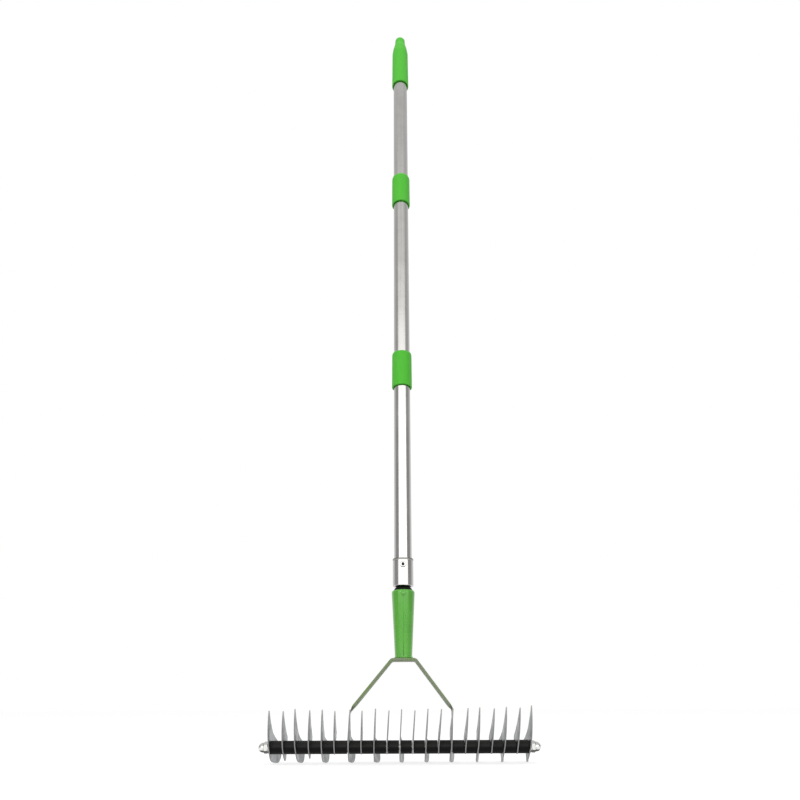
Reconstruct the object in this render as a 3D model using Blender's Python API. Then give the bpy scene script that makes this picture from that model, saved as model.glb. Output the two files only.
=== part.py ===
"""Thatch rake: crescent blades on an axle, a strap yoke and a pole in three screwed sections.

World frame in metres: X runs along the axle, Z up along the pole, and the blades' spikes face -Y.
The origin is under the middle of the blades, on the ground.
"""

import math

import bmesh
import bpy
from mathutils import Matrix, Vector

MM = 0.001
GAP = 0.3 * MM  # between pieces that touch

# Blade pack
BLADE_COUNT = 21
BLADE_THICK = 1.5 * MM
BLADE_PITCH = 17.15 * MM
AXLE_R = 4.0 * MM
HOLE_R = 4.3 * MM
SPACER_R = 8.25 * MM
LEG_BLADES = (6, 14)  # the yoke's legs stand on the outer side of these two
LEG_EXTRA = 1.6 * MM  # what a leg adds to the pitch there

# Blade outline, from the axle: Y to the back, Z up
OUTER_C = (34.5 * MM, 42.0 * MM)  # centre of the arc of the cutting edge
OUTER_R = 63.0 * MM
INNER_C = (176.3 * MM, 267.8 * MM)  # centre of the concave back
INNER_R = 300.0 * MM
LOBE_R = 12.5 * MM  # round rear end of a long blade
LOBE_SET = 5.2 * MM  # how far that end is set to one side
LOBE_SET_FROM = 19.0 * MM
HEEL_R = 5.5 * MM  # round heel of a short blade
HEEL_DEPTH = 9.0 * MM  # below the axle
LONG_HEELS = {1: 17.5 * MM, 3: 14.5 * MM}
BACK_R = 4.5 * MM  # rear corner of a short blade
BACK_Y = 14.5 * MM

# Ends of the axle
WASHER_R = 7.5 * MM
WASHER_THICK = 1.2 * MM
NUT_FLATS = 13.0 * MM
NUT_HEX = 5.5 * MM
NUT_DOME_R = 6.1 * MM
NUT_DOME = 8.3 * MM

# Where the axle lies, so that the origin is under the middle of the whole
LOBE_BACK = 42.4 * MM
LOBE_LOW = 20.8 * MM  # below the axle
AXLE_Y = -(LOBE_BACK + OUTER_C[0] - OUTER_R) / 2
AXLE_Z = LOBE_LOW
POLE_X = 6.0 * MM  # the yoke holds the pole this far off the blades' middle
POLE_Y = AXLE_Y

# Yoke, heights above the axle
STRAP_THICK = 3.6 * MM
STRAP_DEPTH = 32.0 * MM
LEG_THICK = 1.8 * MM
LEG_DEPTH = 13.0 * MM
LEFT_BEND = (-61.6 * MM, 51.5 * MM)  # X, height
RIGHT_BEND = (71.6 * MM, 47.2 * MM)
LEFT_TURN_Z = 37.0 * MM  # where a leg starts to lean
RIGHT_TURN_Z = 8.0 * MM
WIDEN_Z = (43.0 * MM, 53.0 * MM)  # between these the leg grows to the strap
BAR_Z = 111.6 * MM  # middle of the bar's thickness
BAR_HALF = 16.5 * MM

# Socket
SOCKET_LOW = BAR_Z + STRAP_THICK / 2 + GAP
SOCKET_TOP = 206.2 * MM
SOCKET_LOW_R = 12.0 * MM
SOCKET_TOP_R = 16.8 * MM
SOCKET_WALL = 1.9 * MM
SEAM_WIDE = 1.3 * MM
SEAM_FINE = 0.7 * MM
SEAM_STEP = 134.0 * MM
SEAM_TOP = 161.0 * MM

# Pole, heights above the axle
TUBE_R = 13.0 * MM
TUBE_WALL = 1.2 * MM
PLUG_RING_R = 14.2 * MM
FERRULE_R = 15.0 * MM
FERRULE_LOW = 213.9 * MM
FERRULE_TOP = 252.5 * MM
COLLAR_LENGTH = 68.0 * MM
COLLAR_LOW_R = 16.4 * MM
COLLAR_TOP_R = 15.8 * MM
COLLAR_RIM_R = 14.3 * MM
MOUTH_R = 14.9 * MM
LOWER_COLLAR = 533.9 * MM
UPPER_COLLAR = 906.6 * MM
WEB_FROM = 26.0 * MM  # the collar's inner web, from its mouth
WEB_THICK = 16.0 * MM
STUD_R = 7.0 * MM
CAP_LOW = 1206.2 * MM
CAP_LENGTH = 129.0 * MM
CAP_LOW_R = 16.0 * MM
CAP_TOP_R = 14.9 * MM
CAP_TIP_R = 6.8 * MM

SOCKET_RIVET_Z = 199.5 * MM
SOCKET_RIVET_R = 3.4 * MM
SOCKET_RIVET_SEAT = 16.5 * MM  # from the pole's axis
FERRULE_RIVET_Z = 244.0 * MM
FERRULE_RIVET_R = 4.8 * MM

STEEL = dict(color=(0.62, 0.62, 0.60), metallic=1.0, roughness=0.22)
FINISHES = {
    "polished_steel": STEEL,
    "blade_steel": dict(color=(0.36, 0.37, 0.37), metallic=1.0, roughness=0.42),
    "nut_chrome": dict(color=(0.80, 0.80, 0.79), metallic=1.0, roughness=0.12),
    "spacer_black": dict(color=(0.012, 0.012, 0.010), metallic=0.0, roughness=0.45),
    "socket_green": dict(color=(0.115, 0.42, 0.052), metallic=0.0, roughness=0.35),
    "yoke_olive": dict(color=(0.20, 0.24, 0.11), metallic=0.0, roughness=0.5),
    "grip_green": dict(color=(0.10, 0.52, 0.045), metallic=0.0, roughness=0.5),
}


def clear_scene():
    """Removes whatever the file opened with."""
    for item in list(bpy.data.objects):
        bpy.data.objects.remove(item, do_unlink=True)


def finish(name):
    """The material of that name, made once."""
    known = bpy.data.materials.get(name)
    if known:
        return known
    spec = FINISHES[name]
    material = bpy.data.materials.new(name)
    material.use_nodes = True
    shader = material.node_tree.nodes["Principled BSDF"]
    shader.inputs["Base Color"].default_value = (*spec["color"], 1.0)
    shader.inputs["Metallic"].default_value = spec["metallic"]
    shader.inputs["Roughness"].default_value = spec["roughness"]
    return material


def empty_at(name, place):
    """An empty that carries the pieces of one moving body."""
    carrier = bpy.data.objects.new(name, None)
    bpy.context.scene.collection.objects.link(carrier)
    carrier.location = place
    return carrier


def new_piece(name, mesh, finish_name, place=(0, 0, 0), parent=None):
    """Links the mesh as a piece; place is in the parent's frame, which only moves and never turns."""
    mesh.materials.append(finish(finish_name))
    piece = bpy.data.objects.new(name, mesh)
    bpy.context.scene.collection.objects.link(piece)
    piece.parent = parent
    piece.location = place
    return piece


def mesh_from(bm, name):
    """Closes the bmesh into a mesh with its faces outward."""
    bmesh.ops.recalc_face_normals(bm, faces=bm.faces)
    mesh = bpy.data.meshes.new(name)
    bm.to_mesh(mesh)
    bm.free()
    return mesh


def smooth(piece, degrees=35.0):
    """Smooth shading, with edges sharper than the angle kept hard."""
    piece.data.shade_smooth()
    piece.data.set_sharp_from_angle(angle=math.radians(degrees))


def turned(name, profile, finish_name, segments=32, place=(0, 0, 0), parent=None, axis="Z"):
    """A closed profile of (radius, height) pairs spun about its axis, as on a lathe."""
    bm = bmesh.new()
    corners = [bm.verts.new((radius, 0.0, height)) for radius, height in profile]
    on_axis = [radius < 1e-9 for radius, _ in profile]
    edges = []
    for index, corner in enumerate(corners):
        after = (index + 1) % len(corners)
        if on_axis[index] and on_axis[after]:
            continue
        edges.append(bm.edges.new((corner, corners[after])))
    bmesh.ops.spin(
        bm, geom=corners + edges, cent=(0, 0, 0), axis=(0, 0, 1), steps=segments,
        angle=math.tau, use_merge=True,
    )
    bmesh.ops.remove_doubles(bm, verts=bm.verts, dist=1e-6)
    if axis == "X":
        bmesh.ops.rotate(bm, verts=bm.verts, matrix=Matrix.Rotation(math.pi / 2, 3, "Y"))
    elif axis == "-Y":
        bmesh.ops.rotate(bm, verts=bm.verts, matrix=Matrix.Rotation(math.pi / 2, 3, "X"))
    piece = new_piece(name, mesh_from(bm, name), finish_name, place, parent)
    smooth(piece)
    return piece


def cut(piece, cutter):
    """Takes the cutter's shape out of the piece and keeps the cutter hidden."""
    cutter.hide_render = True
    cutter.display_type = "WIRE"
    modifier = piece.modifiers.new("cut", "BOOLEAN")
    modifier.operation = "DIFFERENCE"
    modifier.object = cutter
    bpy.context.view_layer.update()
    graph = bpy.context.evaluated_depsgraph_get()
    shape = bpy.data.meshes.new_from_object(piece.evaluated_get(graph))
    piece.modifiers.clear()
    old = piece.data
    piece.data = shape
    bpy.data.meshes.remove(old)
    bpy.data.objects.remove(cutter, do_unlink=True)
    smooth(piece)


def rod_cutter(radius, length, centre, axis, segments=24):
    """A plain rod across the piece, to cut a hole with."""
    bm = bmesh.new()
    bmesh.ops.create_cone(
        bm, cap_ends=True, segments=segments, radius1=radius, radius2=radius, depth=length
    )
    turn = {"X": Matrix.Rotation(math.pi / 2, 3, "Y"), "Y": Matrix.Rotation(math.pi / 2, 3, "X")}
    if axis in turn:
        bmesh.ops.rotate(bm, verts=bm.verts, matrix=turn[axis])
    cutter = bpy.data.objects.new("cutter", mesh_from(bm, "cutter"))
    bpy.context.scene.collection.objects.link(cutter)
    cutter.location = centre
    return cutter


def arc(centre, radius, start, end, steps):
    """Points along an arc, both ends kept, from one angle to the other in radians."""
    spread = [start + (end - start) * step / steps for step in range(steps + 1)]
    return [(centre[0] + radius * math.cos(a), centre[1] + radius * math.sin(a)) for a in spread]


def angle_from(centre, point):
    """Direction from a centre to a point."""
    return math.atan2(point[1] - centre[1], point[0] - centre[0])


def circles_meet(c1, r1, c2, r2, right=True):
    """One of the two points where two circles cross; right picks the one with more Y."""
    a, b = Vector(c1), Vector(c2)
    apart = (b - a).length
    along = (r1 * r1 - r2 * r2 + apart * apart) / (2 * apart)
    aside = math.sqrt(max(r1 * r1 - along * along, 0.0))
    unit = (b - a) / apart
    middle = a + unit * along
    normal = Vector((-unit.y, unit.x))
    options = sorted((middle + normal * aside, middle - normal * aside), key=lambda p: p.x)
    chosen = options[1] if right else options[0]
    return (chosen.x, chosen.y)


def edge_arc(spike, touch, steps):
    """The cutting edge: from the spike's tip round the front to where the rear end touches it."""
    start = angle_from(OUTER_C, spike)
    end = angle_from(OUTER_C, touch)
    return arc(OUTER_C, OUTER_R, start % math.tau, end % math.tau, steps)


def back_arc(touch, spike, steps):
    """The concave back, from the rear end up to the spike's tip, which it leaves out."""
    start = angle_from(INNER_C, touch)
    end = angle_from(INNER_C, spike)
    return arc(INNER_C, INNER_R, start, end % math.tau - math.tau, steps)[:-1]


def toward(centre, other, radius):
    """The point of a circle nearest to, or past, another centre."""
    direction = (Vector(other) - Vector(centre)).normalized()
    return tuple(Vector(centre) + direction * radius)


def spike_tip():
    """Where the cutting edge and the back meet in a point."""
    return circles_meet(OUTER_C, OUTER_R, INNER_C, INNER_R, right=False)


def long_outline():
    """A crescent: the two arcs, joined at the rear by a circle that touches both."""
    spike = spike_tip()
    lobe = circles_meet(OUTER_C, OUTER_R - LOBE_R, INNER_C, INNER_R + LOBE_R)
    low = toward(lobe, OUTER_C, -LOBE_R)
    high = toward(lobe, INNER_C, LOBE_R)
    outline = edge_arc(spike, low, 18)
    outline += arc(lobe, LOBE_R, angle_from(lobe, low), angle_from(lobe, high), 8)[1:]
    return outline + back_arc(high, spike, 12)[1:]


def short_outline(depth):
    """A spike with a rounded heel under the axle and a rounded rear corner."""
    spike = spike_tip()
    heel_z = HEEL_R - depth
    reach = OUTER_R - HEEL_R
    heel = (OUTER_C[0] - math.sqrt(reach**2 - (OUTER_C[1] - heel_z) ** 2), heel_z)
    back = (BACK_Y, INNER_C[1] - math.sqrt((INNER_R + BACK_R) ** 2 - (INNER_C[0] - BACK_Y) ** 2))
    low = toward(heel, OUTER_C, -HEEL_R)
    high = toward(back, INNER_C, BACK_R)
    span = Vector(back) - Vector(heel)
    lean = math.atan2(span.y, span.x) - math.acos((BACK_R - HEEL_R) / span.length)
    outline = edge_arc(spike, low, 18)
    outline += arc(heel, HEEL_R, angle_from(heel, low), lean, 5)[1:]
    outline += arc(back, BACK_R, lean, angle_from(back, high), 5)
    return outline + back_arc(high, spike, 10)[1:]


def lobe_set(y):
    """How far a long blade is set to one side at this depth."""
    past = max(0.0, y - LOBE_SET_FROM) / (LOBE_BACK - LOBE_SET_FROM)
    return LOBE_SET * past**1.3


def blade(name, outline, x, parent, is_long):
    """One stamped blade: the outline with the axle's hole, cut from sheet and set at its rear."""
    bm = bmesh.new()
    half = BLADE_THICK / 2
    rim = [bm.verts.new((-half, y, z)) for y, z in outline]
    hole = [bm.verts.new((-half, y, z)) for y, z in arc((0, 0), HOLE_R, 0, math.tau, 14)[:-1]]
    edges = [bm.edges.new((ring[i - 1], ring[i])) for ring in (rim, hole) for i in range(len(ring))]
    bmesh.ops.triangle_fill(bm, use_beauty=True, use_dissolve=True, edges=edges)
    if is_long:
        for step in range(6):
            y = LOBE_SET_FROM + (LOBE_BACK - LOBE_SET_FROM) * (step + 0.3) / 6
            geometry = bm.verts[:] + bm.edges[:] + bm.faces[:]
            bmesh.ops.bisect_plane(bm, geom=geometry, plane_co=(0, y, 0), plane_no=(0, 1, 0))
    sheet = bmesh.ops.extrude_face_region(bm, geom=bm.faces[:])["geom"]
    lifted = [item for item in sheet if isinstance(item, bmesh.types.BMVert)]
    bmesh.ops.translate(bm, verts=lifted, vec=(BLADE_THICK, 0, 0))
    for vert in bm.verts if is_long else ():
        vert.co.x += lobe_set(vert.co.y)
    piece = new_piece(name, mesh_from(bm, name), "blade_steel", (x, 0, 0), parent)
    smooth(piece, 25.0)
    return piece


def blade_x(number):
    """Where a blade stands along the axle; the legs push the outer ones apart."""
    middle = BLADE_COUNT // 2
    x = (number - middle) * BLADE_PITCH
    if number < LEG_BLADES[0]:
        return x - LEG_EXTRA
    if number > LEG_BLADES[1]:
        return x + LEG_EXTRA
    return x


def tube(name, r_out, r_in, low, high, finish_name, parent, axis="Z", segments=32, edge=0.0):
    """A plain tube from low to high along its axis, with a small chamfer on its ends if asked."""
    profile = [(r_out, high - edge), (r_out, low + edge), (r_out - edge, low), (r_in, low),
               (r_in, high), (r_out - edge, high)]
    if not edge:
        profile = [(r_out, high), (r_out, low), (r_in, low), (r_in, high)]
    return turned(name, profile, finish_name, segments, parent=parent, axis=axis)


def leg_x(side):
    """Middle of a leg's thickness beside its blade; side is -1 or 1."""
    number = LEG_BLADES[0] if side < 0 else LEG_BLADES[1]
    return blade_x(number) + side * (BLADE_THICK / 2 + GAP + LEG_THICK / 2)


def blade_pack(carrier):
    """The axle with everything threaded on it."""
    last = BLADE_COUNT - 1
    end = blade_x(last) + BLADE_THICK / 2
    for number in range(BLADE_COUNT):
        is_long = number % 2 == 0
        outline = long_outline() if is_long else short_outline(LONG_HEELS.get(number, HEEL_DEPTH))
        blade(f"blade_{number:02d}", outline, blade_x(number), carrier, is_long)
    for number in range(1, BLADE_COUNT):
        low = blade_x(number - 1) + BLADE_THICK / 2 + GAP
        high = blade_x(number) - BLADE_THICK / 2 - GAP
        if number == LEG_BLADES[0]:
            high -= LEG_THICK + GAP
        if number == LEG_BLADES[1] + 1:
            low += LEG_THICK + GAP
        tube(f"spacer_{number:02d}", SPACER_R, HOLE_R, low, high, "spacer_black", carrier, "X", 14)
    washer_at = end + GAP
    nut_at = washer_at + WASHER_THICK + GAP
    tip = nut_at + 7.0 * MM
    rod = [(0.0, tip), (AXLE_R - 0.6 * MM, tip), (AXLE_R, tip - 0.6 * MM), (AXLE_R, 0.6 * MM - tip),
           (AXLE_R - 0.6 * MM, -tip), (0.0, -tip)]
    turned("axle_rod", rod, "polished_steel", 16, parent=carrier, axis="X")
    for side, word in ((-1, "left"), (1, "right")):
        low, high = sorted((side * washer_at, side * (washer_at + WASHER_THICK)))
        tube(f"{word}_washer", WASHER_R, HOLE_R, low, high, "nut_chrome", carrier, "X", 24)
        cap_nut(f"{word}_cap_nut", side, nut_at, carrier)


def cap_nut(name, side, start, parent):
    """A hexagon with a dome on it, and a blind hole for the axle's end."""
    bm = bmesh.new()
    corner = NUT_FLATS / math.sqrt(3)
    bmesh.ops.create_cone(
        bm, cap_ends=True, segments=6, radius1=corner, radius2=corner, depth=NUT_HEX
    )
    bmesh.ops.translate(bm, verts=bm.verts, vec=(0, 0, NUT_HEX / 2))
    bmesh.ops.rotate(bm, verts=bm.verts, matrix=Matrix.Rotation(math.pi / 2, 3, "Z"))
    top = max(bm.faces, key=lambda face: face.calc_center_median().z)
    ring = bmesh.ops.inset_individual(bm, faces=[top], thickness=0.35 * MM)["faces"]
    outer = [vert for face in ring for vert in face.verts if vert not in top.verts]
    bmesh.ops.translate(bm, verts=list(set(outer)), vec=(0, 0, -0.8 * MM))
    piece = new_piece(name, mesh_from(bm, name), "nut_chrome", (0, 0, 0), None)
    dome = [(NUT_DOME_R * math.cos(a), NUT_HEX + NUT_DOME * math.sin(a))
            for a in (math.pi / 2 * step / 8 for step in range(9))]
    dome[-1] = (0.0, NUT_HEX + NUT_DOME)
    profile = [(0.0, NUT_HEX - 1 * MM), (NUT_DOME_R, NUT_HEX - 1 * MM)] + dome
    cup = turned("dome", profile, "nut_chrome", 24)
    join(piece, cup)
    cut(piece, rod_cutter(HOLE_R, 20 * MM, (0, 0, -1.5 * MM), "Z", 20))
    turn = Matrix.Rotation(side * math.pi / 2, 4, "Y")
    piece.data.transform(turn)
    piece.parent = parent
    piece.location = (side * start, 0, 0)
    smooth(piece)


def join(piece, other):
    """Fuses another piece into this one."""
    modifier = piece.modifiers.new("join", "BOOLEAN")
    modifier.operation = "UNION"
    modifier.object = other
    bpy.context.view_layer.update()
    graph = bpy.context.evaluated_depsgraph_get()
    shape = bpy.data.meshes.new_from_object(piece.evaluated_get(graph))
    piece.modifiers.clear()
    old = piece.data
    piece.data = shape
    bpy.data.meshes.remove(old)
    bpy.data.objects.remove(other, do_unlink=True)
    smooth(piece)


def rounded_path(corners, steps=5):
    """A path of (x, z, bend radius) corners, each bend drawn as an arc; gives (x, z) points."""
    points = []
    for index, (x, z, radius) in enumerate(corners):
        here = Vector((x, z))
        if radius == 0.0:
            points.append(here)
            continue
        before = (Vector(corners[index - 1][:2]) - here).normalized()
        after = (Vector(corners[index + 1][:2]) - here).normalized()
        half = before.angle(after) / 2
        back = radius / math.tan(half)
        centre = here + (before + after).normalized() * (radius / math.sin(half))
        start = here + before * back - centre
        swing = (here + after * back - centre).angle_signed(start)
        for step in range(steps + 1):
            turned_by = start.copy()
            turned_by.rotate(Matrix.Rotation(swing * step / steps, 2))
            points.append(centre + turned_by)
    return points


def strap_size(z):
    """Thickness and depth of the strap at this height above the axle: thin legs, wide above."""
    share = min(1.0, max(0.0, (z - WIDEN_Z[0]) / (WIDEN_Z[1] - WIDEN_Z[0])))
    ease = share * share * (3 - 2 * share)
    return (LEG_THICK + (STRAP_THICK - LEG_THICK) * ease, LEG_DEPTH + (STRAP_DEPTH - LEG_DEPTH) * ease)


def yoke():
    """The strap from eye to eye, bent at four corners, with a hole for the axle in each leg."""
    left, right = leg_x(-1), leg_x(1)
    eye = LEG_DEPTH / 2
    corners = [
        (left, 0.0, 0.0),
        (left, LEFT_TURN_Z, 18 * MM),
        (*LEFT_BEND, 6 * MM),
        (POLE_X - BAR_HALF, BAR_Z, 5 * MM),
        (POLE_X + BAR_HALF, BAR_Z, 5 * MM),
        (*RIGHT_BEND, 6 * MM),
        (right, RIGHT_TURN_Z, 26 * MM),
        (right, 0.0, 0.0),
    ]
    path = [tuple(point) for point in rounded_path(corners)]
    eye_angles = [math.pi / 2 * step / 6 for step in range(1, 6)]
    low_left = [(left, -eye * math.sin(a)) for a in reversed(eye_angles)]
    low_right = [(right, -eye * math.sin(a)) for a in eye_angles]
    path = [(left, -eye * 0.995)] + low_left + path + low_right + [(right, -eye * 0.995)]
    bm = bmesh.new()
    rings = []
    for index, (x, z) in enumerate(path):
        before = Vector(path[max(index - 1, 0)])
        after = Vector(path[min(index + 1, len(path) - 1)])
        run = (after - before).normalized()
        side = Vector((-run.y, run.x))
        thick, depth = strap_size(z)
        if z < 0.0:
            depth = 2 * math.sqrt(eye * eye - z * z)
        offsets = ((-1, -1), (1, -1), (1, 1), (-1, 1))
        rings.append([bm.verts.new((x + side.x * a * thick / 2, b * depth / 2, z + side.y * a * thick / 2))
                      for a, b in offsets])
    for first, second in zip(rings, rings[1:]):
        for i in range(4):
            bm.faces.new((first[i], first[(i + 1) % 4], second[(i + 1) % 4], second[i]))
    bm.faces.new(rings[0])
    bm.faces.new(rings[-1])
    piece = new_piece("yoke", mesh_from(bm, "yoke"), "yoke_olive", (0, AXLE_Y, AXLE_Z))
    smooth(piece)
    cut(piece, rod_cutter(HOLE_R, 200 * MM, (0, AXLE_Y, AXLE_Z), "X", 20))
    return piece


def at_pole(height=0.0):
    """A place on the pole's axis, this high above the axle."""
    return (POLE_X, POLE_Y, AXLE_Z + height)


def socket():
    """The tapered rolled socket with the bead of weld at its foot and the open seam at its front."""
    low, top = SOCKET_LOW, SOCKET_TOP
    wall = SOCKET_WALL
    profile = [
        (SOCKET_TOP_R, top - 0.5 * MM),
        (SOCKET_LOW_R + 0.2 * MM, low + 3.0 * MM),
        (SOCKET_LOW_R + 0.9 * MM, low + 1.2 * MM),
        (SOCKET_LOW_R + 1.8 * MM, low),
        (SOCKET_LOW_R - wall, low),
        (SOCKET_TOP_R - wall, top),
        (SOCKET_TOP_R - 0.5 * MM, top),
    ]
    piece = turned("socket", profile, "socket_green", 28, at_pole())
    seam = bmesh.new()
    outline = [
        (-SEAM_WIDE / 2, low + 3.2 * MM), (SEAM_WIDE / 2, low + 3.2 * MM), (SEAM_WIDE / 2, SEAM_STEP),
        (SEAM_FINE / 2, SEAM_STEP + 2 * MM), (SEAM_FINE / 2, SEAM_TOP), (-SEAM_FINE / 2, SEAM_TOP),
        (-SEAM_FINE / 2, SEAM_STEP + 2 * MM), (-SEAM_WIDE / 2, SEAM_STEP),
    ]
    face = seam.faces.new([seam.verts.new((x, -20 * MM, z)) for x, z in outline])
    deep = bmesh.ops.extrude_face_region(seam, geom=[face])["geom"]
    moved = [item for item in deep if isinstance(item, bmesh.types.BMVert)]
    bmesh.ops.translate(seam, verts=moved, vec=(0, 15 * MM, 0))
    cutter = bpy.data.objects.new("seam", mesh_from(seam, "seam"))
    bpy.context.scene.collection.objects.link(cutter)
    cutter.location = at_pole()
    cut(piece, cutter)
    drill(piece, SOCKET_RIVET_Z, 2.3 * MM, 12 * MM)
    return piece


def drill(piece, height, radius, depth):
    """A hole from the front toward the pole's axis, at this height above the axle."""
    x, y, z = at_pole(height)
    cut(piece, rod_cutter(radius, depth, (x, y - TUBE_R, z), "Y", 16))


def rivet(name, height, head_r, shank_r, seat, head, inward, hollow, finish_name):
    """A domed rivet from the front, its head on a surface this far from the axis."""
    rim = [(head_r * math.cos(a), GAP + head * math.sin(a)) for a in (math.pi / 2 * s / 4 for s in range(4))]
    profile = [(shank_r, GAP), (shank_r, -inward), (0.0, -inward)]
    if hollow:
        profile += [(0.0, 0.2 * MM), (hollow, 0.2 * MM), (hollow, GAP + head)]
        rim = [(max(r, hollow + 0.5 * MM), h) for r, h in rim]
    else:
        profile += [(0.0, GAP + head)]
    profile += list(reversed(rim))
    x, y, z = at_pole(height)
    return turned(name, profile, finish_name, 20, (x, y - seat, z), axis="-Y")


def plug():
    """The black plug: tapered shank in the socket, ring between socket and ferrule, spigot in the tube."""
    shank_low = 150 * MM
    slope = (SOCKET_TOP_R - SOCKET_LOW_R) / (SOCKET_TOP - SOCKET_LOW)
    shank_top_r = SOCKET_TOP_R - SOCKET_WALL - GAP
    shank_low_r = shank_top_r - slope * (SOCKET_TOP - shank_low)
    ring_low, ring_top = SOCKET_TOP + GAP, FERRULE_LOW - GAP
    spigot = TUBE_R - TUBE_WALL - GAP
    profile = [
        (0.0, FERRULE_TOP + 6 * MM), (spigot - 1 * MM, FERRULE_TOP + 6 * MM), (spigot, FERRULE_TOP + 5 * MM),
        (spigot, ring_top), (PLUG_RING_R - 0.6 * MM, ring_top), (PLUG_RING_R, ring_top - 0.6 * MM),
        (PLUG_RING_R, ring_low + 0.6 * MM), (PLUG_RING_R, ring_low),
        (shank_top_r, ring_low), (shank_low_r, shank_low), (0.0, shank_low),
    ]
    piece = turned("plug", profile, "spacer_black", 24, at_pole())
    drill(piece, SOCKET_RIVET_Z, 2.3 * MM, 16 * MM)
    drill(piece, FERRULE_RIVET_Z, 2.8 * MM, 16 * MM)
    return piece


def ferrule():
    """The bright sleeve round the lower tube's end."""
    bore = TUBE_R + GAP
    profile = [
        (FERRULE_R - 0.9 * MM, FERRULE_TOP), (FERRULE_R, FERRULE_TOP - 1.0 * MM),
        (FERRULE_R, FERRULE_LOW + 0.6 * MM), (FERRULE_R - 0.6 * MM, FERRULE_LOW),
        (bore, FERRULE_LOW), (bore, FERRULE_TOP),
    ]
    piece = turned("ferrule", profile, "polished_steel", 32, at_pole())
    drill(piece, FERRULE_RIVET_Z, 2.8 * MM, 12 * MM)
    return piece


def collar(name, low, parent):
    """A joint's collar: a wide mouth below, a web with the thread inside and a tapered top."""
    top = low + COLLAR_LENGTH
    bore = TUBE_R + GAP
    web_low, web_top = low + WEB_FROM, low + WEB_FROM + WEB_THICK
    profile = [
        (COLLAR_RIM_R, top), (COLLAR_RIM_R + 0.5 * MM, top - 0.5 * MM), (COLLAR_TOP_R - 0.2 * MM, top - 6 * MM),
        (COLLAR_TOP_R, top - 9 * MM), (COLLAR_LOW_R, low + 1.0 * MM), (COLLAR_LOW_R - 0.4 * MM, low + 0.2 * MM),
        (COLLAR_LOW_R - 0.8 * MM, low), (MOUTH_R, low), (MOUTH_R, low + 6 * MM), (bore, low + 8 * MM),
        (bore, web_low), (STUD_R + GAP, web_low), (STUD_R + GAP, web_top), (bore, web_top), (bore, top),
    ]
    return turned(name, profile, "grip_green", 26, at_pole(), parent)


def coupler(name, low, parent):
    """The plug in a tube's top end with the threaded stud that the next section screws onto."""
    seat = low + WEB_FROM - GAP
    fit = TUBE_R - TUBE_WALL - GAP
    profile = [
        (0.0, seat + WEB_THICK + 12 * MM), (STUD_R - 1 * MM, seat + WEB_THICK + 12 * MM),
        (STUD_R, seat + WEB_THICK + 11 * MM), (STUD_R, seat), (fit, seat), (fit, seat - 29 * MM),
        (fit - 1 * MM, seat - 30 * MM), (0.0, seat - 30 * MM),
    ]
    return turned(name, profile, "polished_steel", 20, at_pole(), parent)


def end_cap(parent):
    """The grip that closes the pole: a long sleeve, a shoulder cone and a flat tip."""
    low, top = CAP_LOW, CAP_LOW + CAP_LENGTH
    bore = TUBE_R + GAP
    seat = top - 34 * MM
    profile = [
        (0.0, top), (CAP_TIP_R - 0.8 * MM, top), (CAP_TIP_R, top - 1.0 * MM), (CAP_TIP_R + 0.6 * MM, top - 9 * MM),
        (CAP_TIP_R + 1.8 * MM, top - 12 * MM), (CAP_TOP_R - 1.6 * MM, top - 21 * MM),
        (CAP_TOP_R - 0.4 * MM, top - 24 * MM), (CAP_TOP_R, top - 28 * MM),
        (CAP_LOW_R, low + 1.2 * MM), (CAP_LOW_R - 0.5 * MM, low), (MOUTH_R, low), (MOUTH_R, low + 5 * MM),
        (bore, low + 7 * MM), (bore, seat), (0.0, seat),
    ]
    return turned("end_cap", profile, "grip_green", 28, at_pole(), parent)


def pole_tube(name, low, high, parent):
    """One section's tube, between two heights above the axle."""
    profile = [(TUBE_R, high), (TUBE_R, low), (TUBE_R - TUBE_WALL, low), (TUBE_R - TUBE_WALL, high)]
    return turned(name, profile, "polished_steel", 32, at_pole(), parent)


def pole():
    """Everything above the socket; each section that unscrews has its own carrier on the axis."""
    plug()
    ferrule()
    rivet("socket_rivet", SOCKET_RIVET_Z, SOCKET_RIVET_R, 2.0 * MM, SOCKET_RIVET_SEAT, 1.6 * MM, 8 * MM, 0.0,
          "socket_green")
    rivet("ferrule_rivet", FERRULE_RIVET_Z, FERRULE_RIVET_R, 2.5 * MM, FERRULE_R, 2.0 * MM, 8 * MM, 1.6 * MM,
          "polished_steel")
    web_low, web_top = WEB_FROM, WEB_FROM + WEB_THICK
    lower_tube = pole_tube("lower_tube", FERRULE_LOW, LOWER_COLLAR + web_low - GAP, None)
    drill(lower_tube, FERRULE_RIVET_Z, 2.8 * MM, 12 * MM)
    coupler("lower_coupler", LOWER_COLLAR, None)
    middle = empty_at("middle_section", (0, 0, 0))
    collar("lower_collar", LOWER_COLLAR, middle)
    pole_tube("middle_tube", LOWER_COLLAR + web_top + GAP, UPPER_COLLAR + web_low - GAP, middle)
    coupler("upper_coupler", UPPER_COLLAR, middle)
    upper = empty_at("upper_section", (0, 0, 0))
    collar("upper_collar", UPPER_COLLAR, upper)
    pole_tube("upper_tube", UPPER_COLLAR + web_top + GAP, CAP_LOW + CAP_LENGTH - 36 * MM, upper)
    end_cap(upper)
    for section in (middle, upper):
        settle(section, at_pole())


def settle(carrier, place):
    """Moves a carrier to its joint's axis and leaves its pieces where they are."""
    for piece in carrier.children:
        piece.location = Vector(piece.location) - Vector(place)
    carrier.location = place


def main():
    """Builds the rake."""
    clear_scene()
    blade_pack(empty_at("blade_pack", (0, AXLE_Y, AXLE_Z)))
    yoke()
    socket()
    pole()


main()
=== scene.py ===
"""Thatch rake, dressed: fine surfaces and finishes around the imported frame, and the studio it stands in.

Sizes in the classes are millimetres, and heights are measured from the axle. Every surface is worked out
as whole arrays and placed in the row frame, in metres.
"""

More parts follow.
